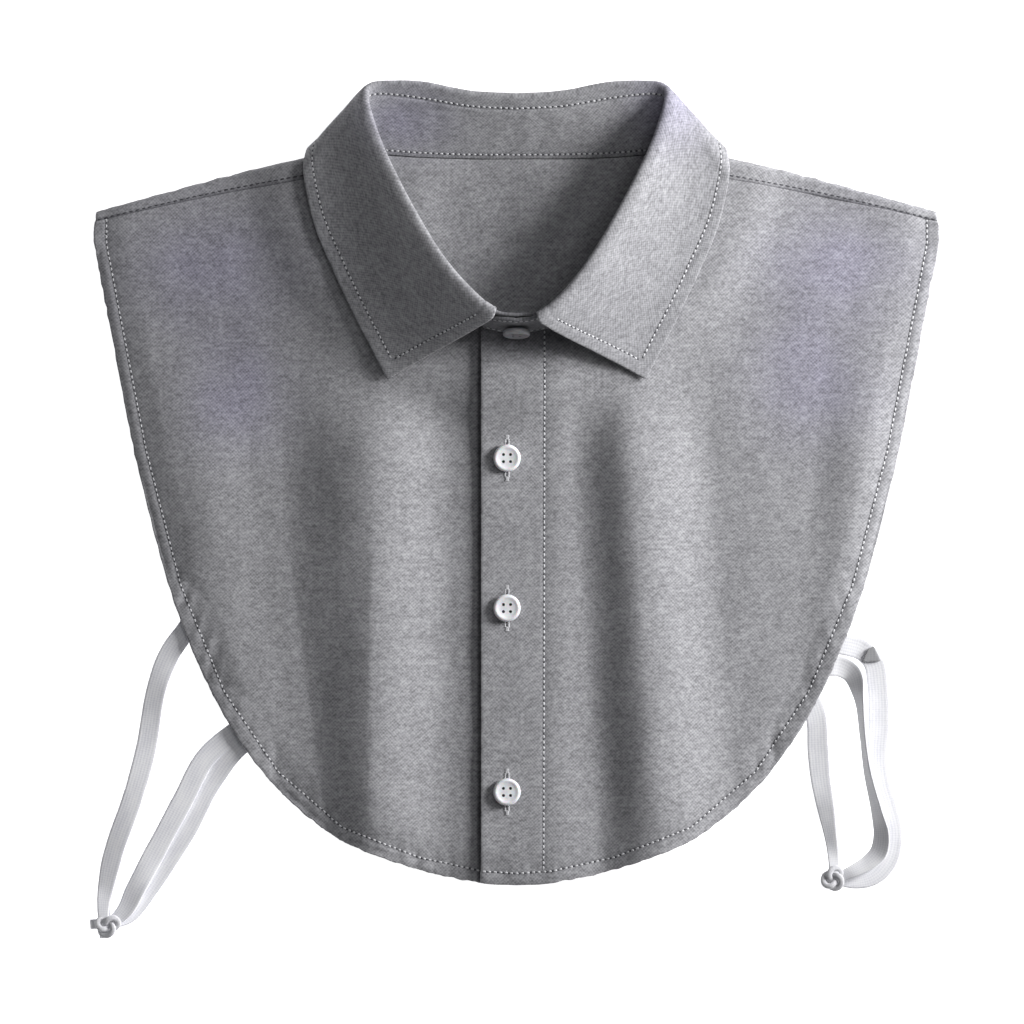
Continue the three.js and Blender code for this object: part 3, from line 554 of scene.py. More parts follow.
def wall(name, grid, thick, uv, attributes=None):
    """A closed cloth piece on a grid of middle points, with a rounded rim."""
    m, n = grid.shape[:2]
    normal = grid_normals(grid)
    half = np.broadcast_to(np.asarray(thick, float) / 2, (m, n))[..., None]
    top, bottom = grid + normal * half, grid - normal * half
    ring = [(0, j) for j in range(n)] + [(i, n - 1) for i in range(1, m)]
    ring += [(m - 1, j) for j in range(n - 2, -1, -1)] + [(i, 0) for i in range(m - 2, 0, -1)]
    ri, rj = np.array(ring).T
    inner_i, inner_j = np.clip(ri, 1, m - 2), np.clip(rj, 1, n - 2)
    out = grid[ri, rj] - grid[inner_i, inner_j]
    out = unit(out - normal[ri, rj] * (out * normal[ri, rj]).sum(-1, keepdims=True))
    index = np.arange(m * n).reshape(m, n)
    rings = [index[ri, rj]]
    extra = []
    count = 2 * m * n
    for k in range(1, RIM_RINGS + 1):
        angle = math.pi * k / (RIM_RINGS + 1)
        side_points = normal[ri, rj] * math.cos(angle) + out * 0.85 * math.sin(angle)
        extra.append(grid[ri, rj] + side_points * half[ri, rj])
        rings.append(np.arange(len(ring)) + count)
        count += len(ring)
    rings.append(index[ri, rj] + m * n)
    points = np.vstack([top.reshape(-1, 3), bottom.reshape(-1, 3), *extra])
    a, b, c, d = index[:-1, :-1], index[1:, :-1], index[1:, 1:], index[:-1, 1:]
    upper = np.stack([a, b, c, d], -1).reshape(-1, 4)
    lower = np.stack([a, d, c, b], -1).reshape(-1, 4) + m * n
    sides = [np.stack([r, np.roll(r, -1), np.roll(s, -1), s], -1) for r, s in zip(rings[:-1], rings[1:])]
    faces = np.vstack([upper, lower, *sides])
    flat_uv = uv.reshape(-1, 2)
    all_uv = np.vstack([flat_uv, flat_uv] + [uv[ri, rj]] * RIM_RINGS)
    spread = {}
    for key, values in (attributes or {}).items():
        values = np.broadcast_to(values, (m, n))
        spread[key] = np.concatenate([values.ravel(), values.ravel()] + [values[ri, rj]] * RIM_RINGS)
    a, b, c, d = (points[faces[:, k]] for k in range(4))
    volume = np.einsum("ij,ij->i", a, np.cross(b, c) + np.cross(c, d))
    if volume.sum() < 0:
        faces = faces[:, ::-1]
    return new_object(name, points, faces, all_uv, spread)


def arc(grid, axis):
    """Distance along the grid's lines, in millimetres, from their start."""
    step = np.linalg.norm(np.diff(grid, axis=axis), axis=-1)
    pad = [(0, 0), (0, 0)]
    pad[axis] = (1, 0)
    return np.pad(np.cumsum(step, axis=axis), pad)


def contour(surface, normals, field, level):
    """The line across the rows of a grid where a field that grows along each row passes a level."""
    points, ups = [], []
    for p, n, f in zip(surface, normals, field):
        k = np.searchsorted(f, level) if f[-1] > f[0] else len(f) - np.searchsorted(f[::-1], level)
        if 0 < k < len(f):
            t = (level - f[k - 1]) / (f[k] - f[k - 1])
            points.append(mix(p[k - 1], p[k], t))
            ups.append(mix(n[k - 1], n[k], t))
    return np.array(points), np.array(ups)


# Stitches
def spindle_shape():
    """A small spindle along X, with its faces."""
    rings, sides = 4, 6
    a = np.pi * np.arange(1, rings + 1)[:, None] / (rings + 1)
    b = 2 * np.pi * np.arange(sides) / sides
    r = np.sin(a) ** 0.6 / 2
    middle = stack(-np.cos(a) / 2, np.cos(b) * r, np.sin(b) * r).reshape(-1, 3)
    turns = [(k, (k + 1) % sides) for k in range(sides)]
    last, end = 1 + (rings - 1) * sides, 1 + rings * sides
    faces = [(0, 1 + j, 1 + k) for k, j in turns]
    faces += [(i + k, i + j, i + sides + j, i + sides + k) for i in range(1, last, sides) for k, j in turns]
    faces += [(end, last + k, last + j) for k, j in turns]
    return np.vstack([(-0.5, 0, 0), middle, (0.5, 0, 0)]), faces


SPINDLE = spindle_shape()


def spindles(name, parts):
    """One mesh of spindles, each from its three axes and its place."""
    shape, shape_faces = SPINDLE
    points = [shape @ axes + place for axes, place in parts]
    faces = [tuple(k * len(shape) + v for v in f) for k in range(len(parts)) for f in shape_faces]
    return new_object(name, np.vstack(points), faces)


def at_lengths(line, lengths, at):
    return np.stack([np.interp(at, lengths, line[:, k]) for k in range(3)], -1)


def stitches(name, lines, pitch=STITCH_PITCH, size=(STITCH_LONG, STITCH_WIDE, STITCH_HIGH), phase=0.5):
    """One mesh of stitches along lines of (points, normals)."""
    parts = []
    look, sink = 0.4, 0.05
    for line, ups in lines:
        if len(line) < 2:
            continue
        s = lengths_of(line)
        at = np.arange(pitch * phase, s[-1], pitch)
        at = at + rng.normal(0, 0.05, len(at))
        up = unit(at_lengths(ups, s, at))
        along = unit(at_lengths(line, s, at + look) - at_lengths(line, s, at - look))
        axes = np.stack([along, unit(np.cross(up, along)), up], 1) * np.array(size)[:, None]
        axes = axes * rng.normal(1, 0.06, (len(at), 3))[..., None]
        place = at_lengths(line, s, at) + up * (size[2] * 0.3 - sink)
        parts += zip(axes, place)
    return spindles(name, parts)


# Materials
class Nodes:
    """A material's node tree, with short calls to add and join nodes."""

    def __init__(self, name):
        self.material = bpy.data.materials.new(name)
        self.material.use_nodes = True
        self.tree = self.material.node_tree
        self.shader = self.tree.nodes["Principled BSDF"]

    def add(self, kind, operation=None, **values):
        node = self.tree.nodes.new("ShaderNode" + kind)
        if operation:
            node.operation = operation
        for key, value in values.items():
            if key in node.inputs:
                node.inputs[key].default_value = value
            else:
                setattr(node, key, value)
        return node

    def link(self, a, b):
        self.tree.links.new(a, b)

    def math(self, operation, a, b=0.0, clamp=False):
        node = self.add("Math", operation, use_clamp=clamp)
        for socket, value in zip(node.inputs, (a, b)):
            if isinstance(value, (int, float)):
                socket.default_value = value
            else:
                self.link(value, socket)
        return node.outputs[0]

    def ramp(self, factor, stops):
        node = self.add("ValToRGB")
        elements = node.color_ramp.elements
        while len(elements) < len(stops):
            elements.new(0.5)
        for element, (position, color) in zip(elements, stops):
            element.position = position
            element.color = (*color, 1)
        self.link(factor, node.inputs[0])
        return node.outputs[0]

    def uv(self, angle=0.0, scale=(1, 1, 1)):
        coordinates = self.add("TexCoord")
        mapping = self.add("Mapping")
        mapping.inputs["Rotation"].default_value = (0, 0, angle)
        mapping.inputs["Scale"].default_value = scale
        self.link(coordinates.outputs["UV"], mapping.inputs["Vector"])
        return mapping.outputs["Vector"]

    def centred(self, value, weight):
        """A value's distance from a half, times a weight."""
        return self.math("MULTIPLY", self.math("SUBTRACT", value, 0.5), weight)

    def sum(self, first, *parts):
        """A first value and more values, each with its weight."""
        for value, weight in parts:
            first = self.math("ADD", first, self.math("MULTIPLY", value, weight))
        return first

    def attribute(self, name):
        return self.add("Attribute", attribute_name=name).outputs["Fac"]

    def blend(self, kind, factor, a, b):
        """Two colours, each a tuple or a socket, blended by a factor."""
        node = self.add("Mix", data_type="RGBA", blend_type=kind)
        self.link(factor, node.inputs["Factor"])
        for socket, value in (("A", a), ("B", b)):
            if isinstance(value, tuple):
                node.inputs[socket].default_value = (*value, 1)
            else:
                self.link(value, node.inputs[socket])
        return node.outputs["Result"]

    def bump(self, height, strength):
        node = self.add("Bump", Strength=strength, Distance=0.0002)
        self.link(height, node.inputs["Height"])
        self.link(node.outputs["Normal"], self.shader.inputs["Normal"])

    def object_noise(self, scale, detail):
        return self.noise(self.add("TexCoord").outputs["Object"], scale, detail)

    def done(self, color, **numbers):
        """The material with its colour, and with numbers on the sockets that they name."""
        self.link(color, self.shader.inputs["Base Color"])
        for key, value in numbers.items():
            self.shader.inputs[key.replace("_", " ")].default_value = value
        return self.material

    def noise(self, vector, scale, detail=2.0, roughness=0.5):
        node = self.add("TexNoise", Scale=scale, Detail=detail, Roughness=roughness)
        self.link(vector, node.inputs["Vector"])
        return node.outputs["Fac"]

    def wave(self, vector, scale, distortion=0.0, direction="X"):
        node = self.add("TexWave", Scale=scale, Distortion=distortion)
        node.bands_direction = direction
        node.inputs["Detail Scale"].default_value = 2
        self.link(vector, node.inputs["Vector"])
        return node.outputs["Fac"]


WAVE_PERIOD = 2 * math.pi / 20  # the wave texture's period at scale 1


def yarn_cloth():
    """Grey shirt cloth of pale and dark yarns in a fine basket weave. UVs are in millimetres."""
    n = Nodes("shirt_cloth")
    plain = n.uv()
    rise = n.wave(n.uv(angle=math.radians(47)), WAVE_PERIOD / 1.02, distortion=0.9)
    fall = n.wave(n.uv(angle=math.radians(-40)), WAVE_PERIOD / 0.96, distortion=0.9)
    fleck = n.noise(n.uv(scale=(0.85, 1.1, 1)), 0.88, detail=1.5)
    slub = n.noise(n.uv(scale=(0.75, 1.2, 1)), 0.4, detail=1.5, roughness=0.6)
    blotch = n.noise(n.uv(scale=(0.8, 1.2, 1)), 0.14, detail=1.0)
    clear_a = n.noise(plain, 0.16, detail=1.5)
    clear_b = n.noise(n.uv(angle=1.0), 0.11, detail=1.5)
    patch = n.noise(plain, 0.03, detail=2.5)
    weave = n.math("ADD", n.centred(rise, n.math("MULTIPLY", clear_a, 0.42)),
                   n.centred(fall, n.math("MULTIPLY", clear_b, 0.33)))
    mixed = n.math("ADD", weave, 0.5)
    for value, weight in ((fleck, 1.1), (slub, 0.85), (blotch, 0.35), (patch, 0.22)):
        mixed = n.math("ADD", mixed, n.centred(value, weight))
    color = n.ramp(mixed, [(0.1, (0.178, 0.177, 0.187)), (0.5, (0.292, 0.291, 0.306)),
                           (0.9, (0.415, 0.415, 0.431))])
    broken = n.math("ADD", n.noise(plain, 0.05), 0.45)
    tint = n.math("MULTIPLY", n.attribute("tint"), broken, clamp=True)
    color = n.blend("MULTIPLY", tint, color, (1.0, 0.975, 1.13))
    # Painted shade: the seam attribute darkens the cloth towards dark grey along stitch dips, in the throat
    # under the collar, at the stand's ends, on the right leaf and beside the placket
    seam = n.math("MULTIPLY", n.attribute("seam"), 0.9, clamp=True)
    color = n.blend("MULTIPLY", seam, color, (0.3, 0.3, 0.32))
    n.bump(n.sum(n.math("MULTIPLY", weave, 0.9), (fleck, 0.7)), 0.3)
    return n.done(color, Roughness=0.88, Specular_IOR_Level=0.25, Sheen_Weight=0.12, Sheen_Roughness=0.5)


def thread_material(name, color):
    n = Nodes(name)
    dark = tuple(c * 0.7 for c in color)
    return n.done(n.ramp(n.object_noise(1800, 1), [(0.3, dark), (0.7, color)]), Roughness=0.7)


def pearl_material(name, tone_low, tone_high):
    n = Nodes(name)
    tone = n.sum(n.math("MULTIPLY", n.object_noise(260, 2), 0.7), (n.object_noise(900, 2), 0.3))
    return n.done(n.ramp(tone, [(0.3, tone_low), (0.7, tone_high)]), Roughness=0.28, Subsurface_Weight=0.15,
                  Subsurface_Scale=0.001, Coat_Weight=0.3, Coat_Roughness=0.15)


def elastic_material():
    """White braided elastic. UVs are in millimetres, across and along the tape."""
    n = Nodes("elastic_tape")
    ribs = n.wave(n.uv(), WAVE_PERIOD / 1.3)
    picks = n.wave(n.uv(), WAVE_PERIOD / 0.9, distortion=0.5, direction="Y")
    fuzz = n.noise(n.uv(), 1.1)
    patch = n.noise(n.uv(scale=(1, 0.4, 1)), 0.22, detail=1)
    height = n.sum(n.math("MULTIPLY", ribs, 0.3), (picks, 0.2), (fuzz, 0.5))
    tone = n.math("ADD", height, n.centred(patch, 0.8))
    color = n.ramp(tone, [(0.2, (0.78, 0.78, 0.83)), (0.6, (0.92, 0.92, 0.95)), (0.9, (0.97, 0.97, 0.98))])
    n.bump(height, 0.25)
    # Painted shade: the tone attribute darkens the tape towards black, on the right tapes, the knots and the
    # turned fold
    return n.done(n.blend("MIX", n.attribute("tone"), (0, 0, 0), color), Roughness=0.8, Sheen_Weight=0.1)


def floor_material():
    n = Nodes("floor_white")
    color = n.ramp(n.object_noise(3, 1), [(0.3, (0.93, 0.93, 0.93)), (0.7, (0.95, 0.95, 0.95))])
    return n.done(color, Roughness=1.0, Specular_IOR_Level=0.0, Emission_Color=(1, 1, 1, 1),
                  Emission_Strength=0.9)


MATERIALS = {
    "cloth": yarn_cloth(),
    "thread": thread_material("seam_thread", (0.62, 0.62, 0.64)),
    "white_thread": thread_material("buttonhole_thread", (0.6, 0.6, 0.62)),
    "shade": thread_material("needle_mark_thread", (0.075, 0.075, 0.085)),
    "pearl": pearl_material("button_pearl", (0.68, 0.68, 0.71), (0.88, 0.88, 0.90)),
    # A darker copy of the pearl, painted shade for the neck button
    "shaded_pearl": pearl_material("button_pearl_painted_shade", (0.26, 0.26, 0.28), (0.36, 0.36, 0.38)),
    "elastic": elastic_material(),
}


TINTS = (
    # across, up, half width and half height of each violet patch, in millimetres
    (-122, 246, 30, 24),
    (-112, 196, 20, 22),
    (128, 248, 26, 20),
    (118, 205, 22, 26),
    (-44, 306, 16, 12),
    (60, 310, 14, 16),
)


def finish_piece(obj, material, replaces=None):
    obj.data.materials.clear()
    obj.data.materials.append(MATERIALS[material])
    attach(obj, "root")
    if replaces:
        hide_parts(replaces)
    return obj


def seam_mark(distance, at, width=0.55):
    return np.exp(-(((distance - at) / width) ** 2))


def tint_at(x, y):
    """Where the cloth is a little violet."""
    total = 0
    for px, py, wide, high in TINTS:
        total = total + np.exp(-(((x - px) / wide) ** 2) - ((y - py) / high) ** 2)
    return np.minimum(1, total)


# Fronts
def stops(*runs):
    """Even steps through several runs of (start, end, count), each run's last step left to the next."""
    parts = [np.linspace(*run) for run in runs]
    return np.concatenate([part[:-1] for part in parts[:-1]] + parts[-1:])


RAYS = stops((-1, 1, 34), (1, 6, 150), (6, SEAM_ROW, 62))
DOWN = np.linspace(0, 1, 168)


def front_panel(name, side):
    grid = front_point(side, RAYS[:, None], DOWN[None, :])
    x, y = grid[..., 0], grid[..., 1]
    hem = plan_distance(x, y, FRONT_HEMS)
    hem_along = np.broadcast_to(arc(grid, 0)[:, -1:], hem.shape)
    normal = grid_normals(grid)
    normal *= np.sign(normal[..., 2:])
    # The hem stands up from its edge to its stitches, dips there and puckers along them
    lift = 0.14 * (1 - ease(HEM - 1.2, HEM + 0.6, hem)) - 0.2 * seam_mark(hem, HEM, 1.0)
    lift = lift + 0.24 * smooth_noise(hem_along, 0, 7, 11 + side) * seam_mark(hem, HEM, 4)
    # Broad waves inside it, and small ones everywhere
    lift = lift + 0.28 * smooth_noise(x, y, 46, 3 + side) * ease(3, 20, hem)
    lift = lift + 0.05 * smooth_noise(x, y * 0.6, 12, 5 + side)
    # Painted shade: darker cloth in the hem stitches' dip, in the throat under the collar and along the
    # facing's stitch line
    seam = seam_mark(hem, HEM) * 0.5
    below_neck = plan_distance(x, y, NECK_LOOP)
    seam = np.maximum(seam, 0.7 * (1 - ease(6, 19, below_neck)) * (1 - ease(16, 34, np.abs(x))))
    if side < 0:
        # Painted shadow of the over front's edge, a dark line on the under front beside the placket
        seam = np.maximum(seam, seam_mark(x, -BAND_HALF - 0.9, 0.9))
    else:
        band = BAND_HALF * FACING_REACH
        lift = lift - 0.22 * seam_mark(x, band, 0.9)
        lift = lift + 0.1 * smooth_noise(0, y, 9, 21) * seam_mark(x, band, 4)
        seam = np.maximum(seam, seam_mark(x, band) * 0.55)
    grid = grid + normal * lift[..., None]
    outward = unit(grid[:, -1:] - grid[:, -9:-8])
    waver = 0.3 * smooth_noise(hem_along, 0, 6, 61 + side, octaves=3) * (1 - ease(0, HEM, hem))
    grid = grid + outward * (waver * (RAYS[:, None] > 1))[..., None]
    thick = mix(0.55, 1.05, 1 - ease(HEM - 0.6, HEM + 0.8, hem))
    top = grid + normal * (CLOTH / 2)
    marks = {"seam": seam, "tint": tint_at(x, y)}
    obj = wall(name, top - normal * (thick / 2)[..., None], thick, grid[..., :2], marks)
    finish_piece(obj, "cloth", "front_under" if side < 0 else "front_over")
    lines = [contour(top, normal, -hem, -HEM)]
    if side > 0:
        k = np.argmin(np.abs(RAYS - FACING_REACH))
        end = np.searchsorted(-hem[k], -HEM)
        lines.append((top[k, :end], normal[k, :end]))
    return lines


front_lines = front_panel("front_under_cloth", -1) + front_panel("front_over_cloth", 1)


def facing_strip():
    rays = np.linspace(-1, FACING_REACH, 12)
    grid = front_point(1, rays[:, None], mix(0.008, 0.985, np.linspace(0, 1, 140))[None, :])
    grid[..., 2] -= CLOTH / 2 + CLEAR * 1.8 + FACING / 2
    obj = wall("facing_cloth", grid, 0.6, grid[..., :2])
    finish_piece(obj, "cloth", "placket")


facing_strip()


# Back panel
def back_panel():
    rays = stops((0, 0.35, 8), (0.35, 1, 16), (1, 2, 9), (2, len(BACK_RAYS) + 1, 70))
    down = np.linspace(0, 1, 120)
    trim = [0.013 * max(0, 1 - abs(ray - 0.6) / 0.7) for ray in rays]
    right = np.stack([back_point(ray, down * (1 - short)) for ray, short in zip(rays, trim)])
    bulge = np.exp(-(((rays - 0.75) / 0.4) ** 2))[:, None]
    right[..., 1] += 0.4 * smooth_noise(right[..., 0], 0, 11, 71, octaves=3) * bulge
    left = right[:-1][::-1] * np.array([-1, 1, 1])
    grid = np.vstack([right, left])
    on_floor = np.concatenate([rays > 1.4, (rays > 1.4)[:-1][::-1]])[:, None]
    x, y = grid[..., 0], grid[..., 1]
    hem = (1 - down)[None, :] * np.linalg.norm(grid[:, :1] - grid[:, -1:], axis=-1)
    inside = ease(0, 8, hem) * on_floor
    soft = 0.55 * smooth_noise(x, y * 0.45, 30, 31) + 0.35
    waves = np.maximum(0, soft) * inside * (1 - ease(60, 110, plan_distance(x, y, NECK_LOOP)))
    grid[..., 2] += waves * 1.1
    ray_here = np.concatenate([rays, rays[:-1][::-1]])[:, None]
    seam_distance = arc(grid, 0)
    seam_distance = np.minimum(seam_distance, seam_distance[-1:] - seam_distance)
    # Painted shade along the shoulder seam's crease
    seam = seam_mark(seam_distance, 0.0, 0.8) * 0.9 * (ray_here < 1)
    uv = stack(x, y - grid[..., 2] * (ray_here < 1.2), 0)[..., :2]
    obj = wall("back_cloth", grid, BACK_SHOWN, uv, {"seam": seam, "tint": tint_at(x, y)})
    finish_piece(obj, "cloth", "back_panel")
    normal = grid_normals(grid)
    normal *= np.sign(normal[..., 2:])
    return [(grid[i] + normal[i] * BACK_SHOWN / 2, normal[i]) for i in (2, -3)]


back_lines = back_panel()


# Stand
def collar_stand():
    end_row = float(np.interp(BAND_HALF / NECK_TABLES[-1][1][-1], [s[0] for s in SECTIONS], range(LAST + 1)))
    half = stops((-end_row, 0, 22), (0, LAST, 190))
    high = np.linspace(0, 1, 25)
    rows = []
    for side, stations in ((-1, half), (1, half[:-1][::-1])):
        from_end = share(-end_row, 0, stations)
        top = mix(0.5, 1, np.sqrt(1 - (1 - from_end) ** 2))
        rows.append(np.stack([stand_point(side, stations, h * top) for h in high], axis=1))
    grid = np.vstack(rows)
    along, up = arc(grid, 0), arc(grid, 1)
    width = up[:, -1:]
    to_end = np.minimum(along, along[-1:] - along)
    # Painted shade: darker along the stitch line and towards the stand's ends
    seam = np.maximum(seam_mark(up, STAND_HEM) * 0.5, 0.6 * (1 - ease(22, 34, to_end)))
    normal = grid_normals(grid)
    ripple = 0.12 * smooth_noise(along, up, 14, 41)
    grid = grid + normal * (ripple + 0.1 * (1 - ease(1, 3, np.minimum(up, width - up))))[..., None]
    marks = {"seam": seam, "tint": tint_at(grid[..., 0], grid[..., 1])}
    obj = wall("stand_cloth", grid, COLLAR_SHOWN, np.stack([along, up], -1), marks)
    finish_piece(obj, "cloth", "collar_stand")
    inward = normal * -np.sign(normal[len(grid) // 2, 12, 1])
    inside, outside = grid + inward * COLLAR_SHOWN / 2, grid - inward * COLLAR_SHOWN / 2
    return [contour(inside, inward, up, STAND_HEM), contour(outside[-70:], -inward[-70:], up[-70:], 2.0),
            contour(outside[-52:], -inward[-52:], (up - width)[-52:], -1.0)]


stand_lines = collar_stand()


# Leaf
def collar_leaf():
    at = np.linspace(1, LAST, 215)
    grid = np.vstack([leaf_grid(-1, at), leaf_grid(1, at[:-1][::-1])])
    down = arc(grid, 1)
    from_edge = down[:, -1:] - down
    along = arc(grid, 0)
    from_front = np.minimum(along, along[-1:] - along)
    normal = grid_normals(grid)
    normal *= np.sign(normal[30, -8, 2])
    edge = np.minimum(from_edge, from_front)
    lift = 0.14 * (1 - ease(LEAF_HEM - 1, LEAF_HEM + 0.5, edge)) - 0.16 * seam_mark(edge, LEAF_HEM, 0.9)
    lift = lift + 0.12 * smooth_noise(along, down, 22, 51) * ease(2, 10, down)
    grid = grid + normal * lift[..., None]
    across, low = grid[..., 0], 1 - ease(FRONT_NECK_Y - 15, FRONT_NECK_Y + 60, grid[..., 1])
    # Painted shade: darker along the stitch line, and over the right leaf, most towards its lower part
    seam = np.maximum(seam_mark(edge, LEAF_HEM) * 0.5, ease(5, 30, across) * (0.1 + 0.14 * low))
    uv = np.stack([np.broadcast_to(along[:, 20:21], down.shape), down], -1)
    marks = {"seam": seam, "tint": tint_at(grid[..., 0], grid[..., 1])}
    obj = wall("leaf_cloth", grid, COLLAR_SHOWN, uv, marks)
    finish_piece(obj, "cloth", "collar_leaf")
    face = grid + normal * COLLAR_SHOWN / 2
    reach = from_front >= LEAF_HEM
    first, last = np.argmax(reach[:, -12]), len(grid) - np.argmax(reach[::-1, -12])
    lines = [contour(face[first:last], normal[first:last], -from_edge[first:last], -LEAF_HEM)]
    lines.append((face[:, 1], normal[:, 1]))
    for flip in (1, -1):
        ends = [values[::flip][:60].swapaxes(0, 1) for values in (face, normal, from_front, from_edge)]
        keep = [c for c in range(14, grid.shape[1]) if ends[3][c, 0] >= LEAF_HEM]
        lines.append(contour(*(values[keep] for values in ends[:3]), LEAF_HEM))
    return lines


leaf_lines = collar_leaf()
TOP_LINES = front_lines + stand_lines + leaf_lines
finish_piece(stitches("topstitching", TOP_LINES), "thread")
# Dark spindles between the stitches: painted shade in the dips beside them
finish_piece(stitches("stitch_gap_shades", TOP_LINES, size=(0.95, 0.9, 0.2), phase=1.0), "shade")
# Dark dashes along the shoulder seam, in the painted-shade material
finish_piece(stitches("shoulder_stitches", back_lines, pitch=2.6, size=(1.7, 0.6, 0.3)), "shade")


# Buttons
def button_mesh():
    """A four-hole button with a raised rim and a dished middle, its back at height 0."""
    profile = [(0, 0), (4.4, 0), (5.0, 0.15), (5.4, 0.6), (5.5, 1.2), (5.4, 1.9), (5.0, 2.38), (4.6, 2.55),
               (4.2, 2.52), (3.8, 2.36), (3.3, 2.24), (2.4, 2.18), (1.2, 2.15), (0, 2.14)]
    bm = bmesh.new()
    sides = 64
    rings = []
    turns = [2 * math.pi * k / sides for k in range(sides)]
    for r, z in profile:
        rings.append([bm.verts.new((r * math.cos(a), r * math.sin(a), z)) for a in (turns if r else [0])])
    for a, b in zip(rings[:-1], rings[1:]):
        for k in range(sides):
            j = (k + 1) % sides
            if len(a) == 1:
                bm.faces.new((a[0], b[j], b[k]))
            elif len(b) == 1:
                bm.faces.new((a[k], a[j], b[0]))
            else:
                bm.faces.new((a[k], a[j], b[j], b[k]))
    mesh = bpy.data.meshes.new("button_blank")
    bmesh.ops.recalc_face_normals(bm, faces=bm.faces)
    bm.to_mesh(mesh)
    bm.free()
    blank = place_object("button_blank", mesh)
    cutters = []
    for turn in range(4):
        angle = math.pi / 4 + turn * math.pi / 2
        bpy.ops.mesh.primitive_cylinder_add(vertices=24, radius=0.6, depth=8,
                                            location=(math.cos(angle) * 2.0, math.sin(angle) * 2.0, 1))
        cutter = bpy.context.object
        cutters.append(cutter)
        modifier = blank.modifiers.new("hole", "BOOLEAN")
        modifier.object = cutter
        modifier.operation = "DIFFERENCE"
        modifier.solver = "EXACT"
    graph = bpy.context.evaluated_depsgraph_get()
    cut = bpy.data.meshes.new_from_object(blank.evaluated_get(graph))
    for obj in [blank, *cutters]:
        bpy.data.objects.remove(obj)
    return cut


BUTTON = button_mesh()


def hole_shade_disc(matrix):
    """A dark disc under a button, painted shade seen through its holes."""
    turns = 2 * math.pi * np.arange(24) / 24
    rim = np.stack([2.9 * np.cos(turns), 2.9 * np.sin(turns), 0 * turns], -1)
    p = np.vstack([rim - [0, 0, 0.45], rim + [0, 0, 0.1]])
    faces = [list(range(23, -1, -1)), list(range(24, 48))]
    faces += [[k, (k + 1) % 24, 24 + (k + 1) % 24, 24 + k] for k in range(24)]
    return p @ matrix[:3, :3].T + matrix[:3, 3], faces


def place_button(node, matrix, material="pearl"):
    mesh = BUTTON.copy()
    place = np.hstack([matrix[:3, :3] * MM, to_frame(matrix[:3, 3])[:, None]])
    mesh.transform(Matrix([*place.tolist(), [0, 0, 0, 1]]))
    for polygon in mesh.polygons:
        polygon.use_smooth = polygon.normal.length > 0
    finish_piece(place_object(node + "_pearl", mesh), material, node)
    mesh.set_sharp_from_angle(angle=math.radians(38))
    finish_piece(new_object(node + "_thread", *hole_shade_disc(matrix), smooth=False), "shade")


def frame_matrix(point, along_x, along_y, lift):
    normal = unit(np.cross(along_x, along_y))
    across = unit(along_x)
    m = np.eye(4)
    m[:3, 0], m[:3, 1], m[:3, 2] = across, np.cross(normal, across), normal
    m[:3, 3] = point + normal * lift
    return m


BUTTON_YS = [FRONT_NECK_Y - sum(BUTTON_STEPS[:i + 1]) for i in range(len(BUTTON_STEPS))]


def buttonhole_part(y, aside, up, high, size):
    """One spindle of a buttonhole, its thickness a little uneven."""
    place = over_point(BUTTON_ASIDE + aside, y + up) + [0, 0, CLOTH / 2 + high]
    return np.diag(size) * rng.normal(1, 0.05), place


def buttonhole_threads():
    parts = []
    for y in BUTTON_YS:
        for aside in (-0.68, 0.68):
            for step in np.arange(-HOLE_HALF, HOLE_HALF + 0.01, 0.34):
                parts.append(buttonhole_part(y, aside, step, 0.02, (0.95, 0.42, 0.4)))
        for end in (-1, 1):
            for step in np.arange(0, 1.6, 0.36):
                parts.append(buttonhole_part(y, 0, end * (HOLE_HALF + step), 0.06, (1.7, 0.44, 0.4)))
    return parts


def buttonhole_slits():
    """Dark strips at the open ends of the buttonholes, above and below the buttons: painted shade in the
    slits.
    """
    axes = np.array([[0, 2.6, 0], [0.8, 0, 0], [0, 0, 0.3]])
    return [(axes, over_point(BUTTON_ASIDE, y + end * 6.3) + [0, 0, CLOTH / 2 + 0.05])
            for y in BUTTON_YS for end in (-1, 1)]


finish_piece(spindles("buttonhole_threads", buttonhole_threads()), "white_thread")
finish_piece(spindles("buttonhole_slits", buttonhole_slits()), "shade")

for i, y in enumerate(BUTTON_YS):
    point = over_point(BUTTON_ASIDE, y)
    right = over_point(BUTTON_ASIDE + 5, y) - over_point(BUTTON_ASIDE - 5, y)
    up = over_point(BUTTON_ASIDE, y + 5) - over_point(BUTTON_ASIDE, y - 5)
    place_button(f"button_{i + 1}", frame_matrix(point, right, up, CLOTH / 2 + CLEAR * 2))

zero = np.array([0.0])
stand_middle = stand_point(1, zero, np.array([0.42]))[0]
stand_up = (stand_point(1, zero, np.array([0.8])) - stand_point(1, zero, np.array([0.2])))[0]
neck_matrix = frame_matrix(stand_middle, np.array([1.0, 0, 0]), stand_up, COLLAR / 2 + CLEAR * 2)
# The neck button takes the darker pearl: painted shade, as it sits in the collar's shadow
place_button("button_neck", neck_matrix, "shaded_pearl")


# Tapes
def tape_stops(course):
    """Points, sides and headings along a tape's course, with 12 steps from stop to stop."""
    course = np.array([(*stop, 0, 0)[:4] for stop in course])
    last = len(course) - 1
    plan = np.stack([course[:, 0] * SHOULDER_HALF, course[:, 1] * BIB_LENGTH, 0 * course[:, 0]], -1)
    at = np.linspace(0, last, last * 12 + 1)
    p = curve_points(plan, at)
    ahead, behind = (curve_points(plan, np.clip(at + look, 0, last)) for look in (0.02, -0.02))
    heading = unit(ahead - behind)
    level = np.maximum(0, reading(course[:, 2], at))
    lean = np.radians(np.maximum(0, reading(course[:, 3], at)))
    p[:, 2] = TAPE_THICK / 2 + level * (TAPE_THICK + CLEAR) + TAPE_WIDTH / 2 * np.sin(lean)
    side = stack(-heading[:, 1] * np.cos(lean), heading[:, 0] * np.cos(lean), np.sin(lean))
    return p, side, heading


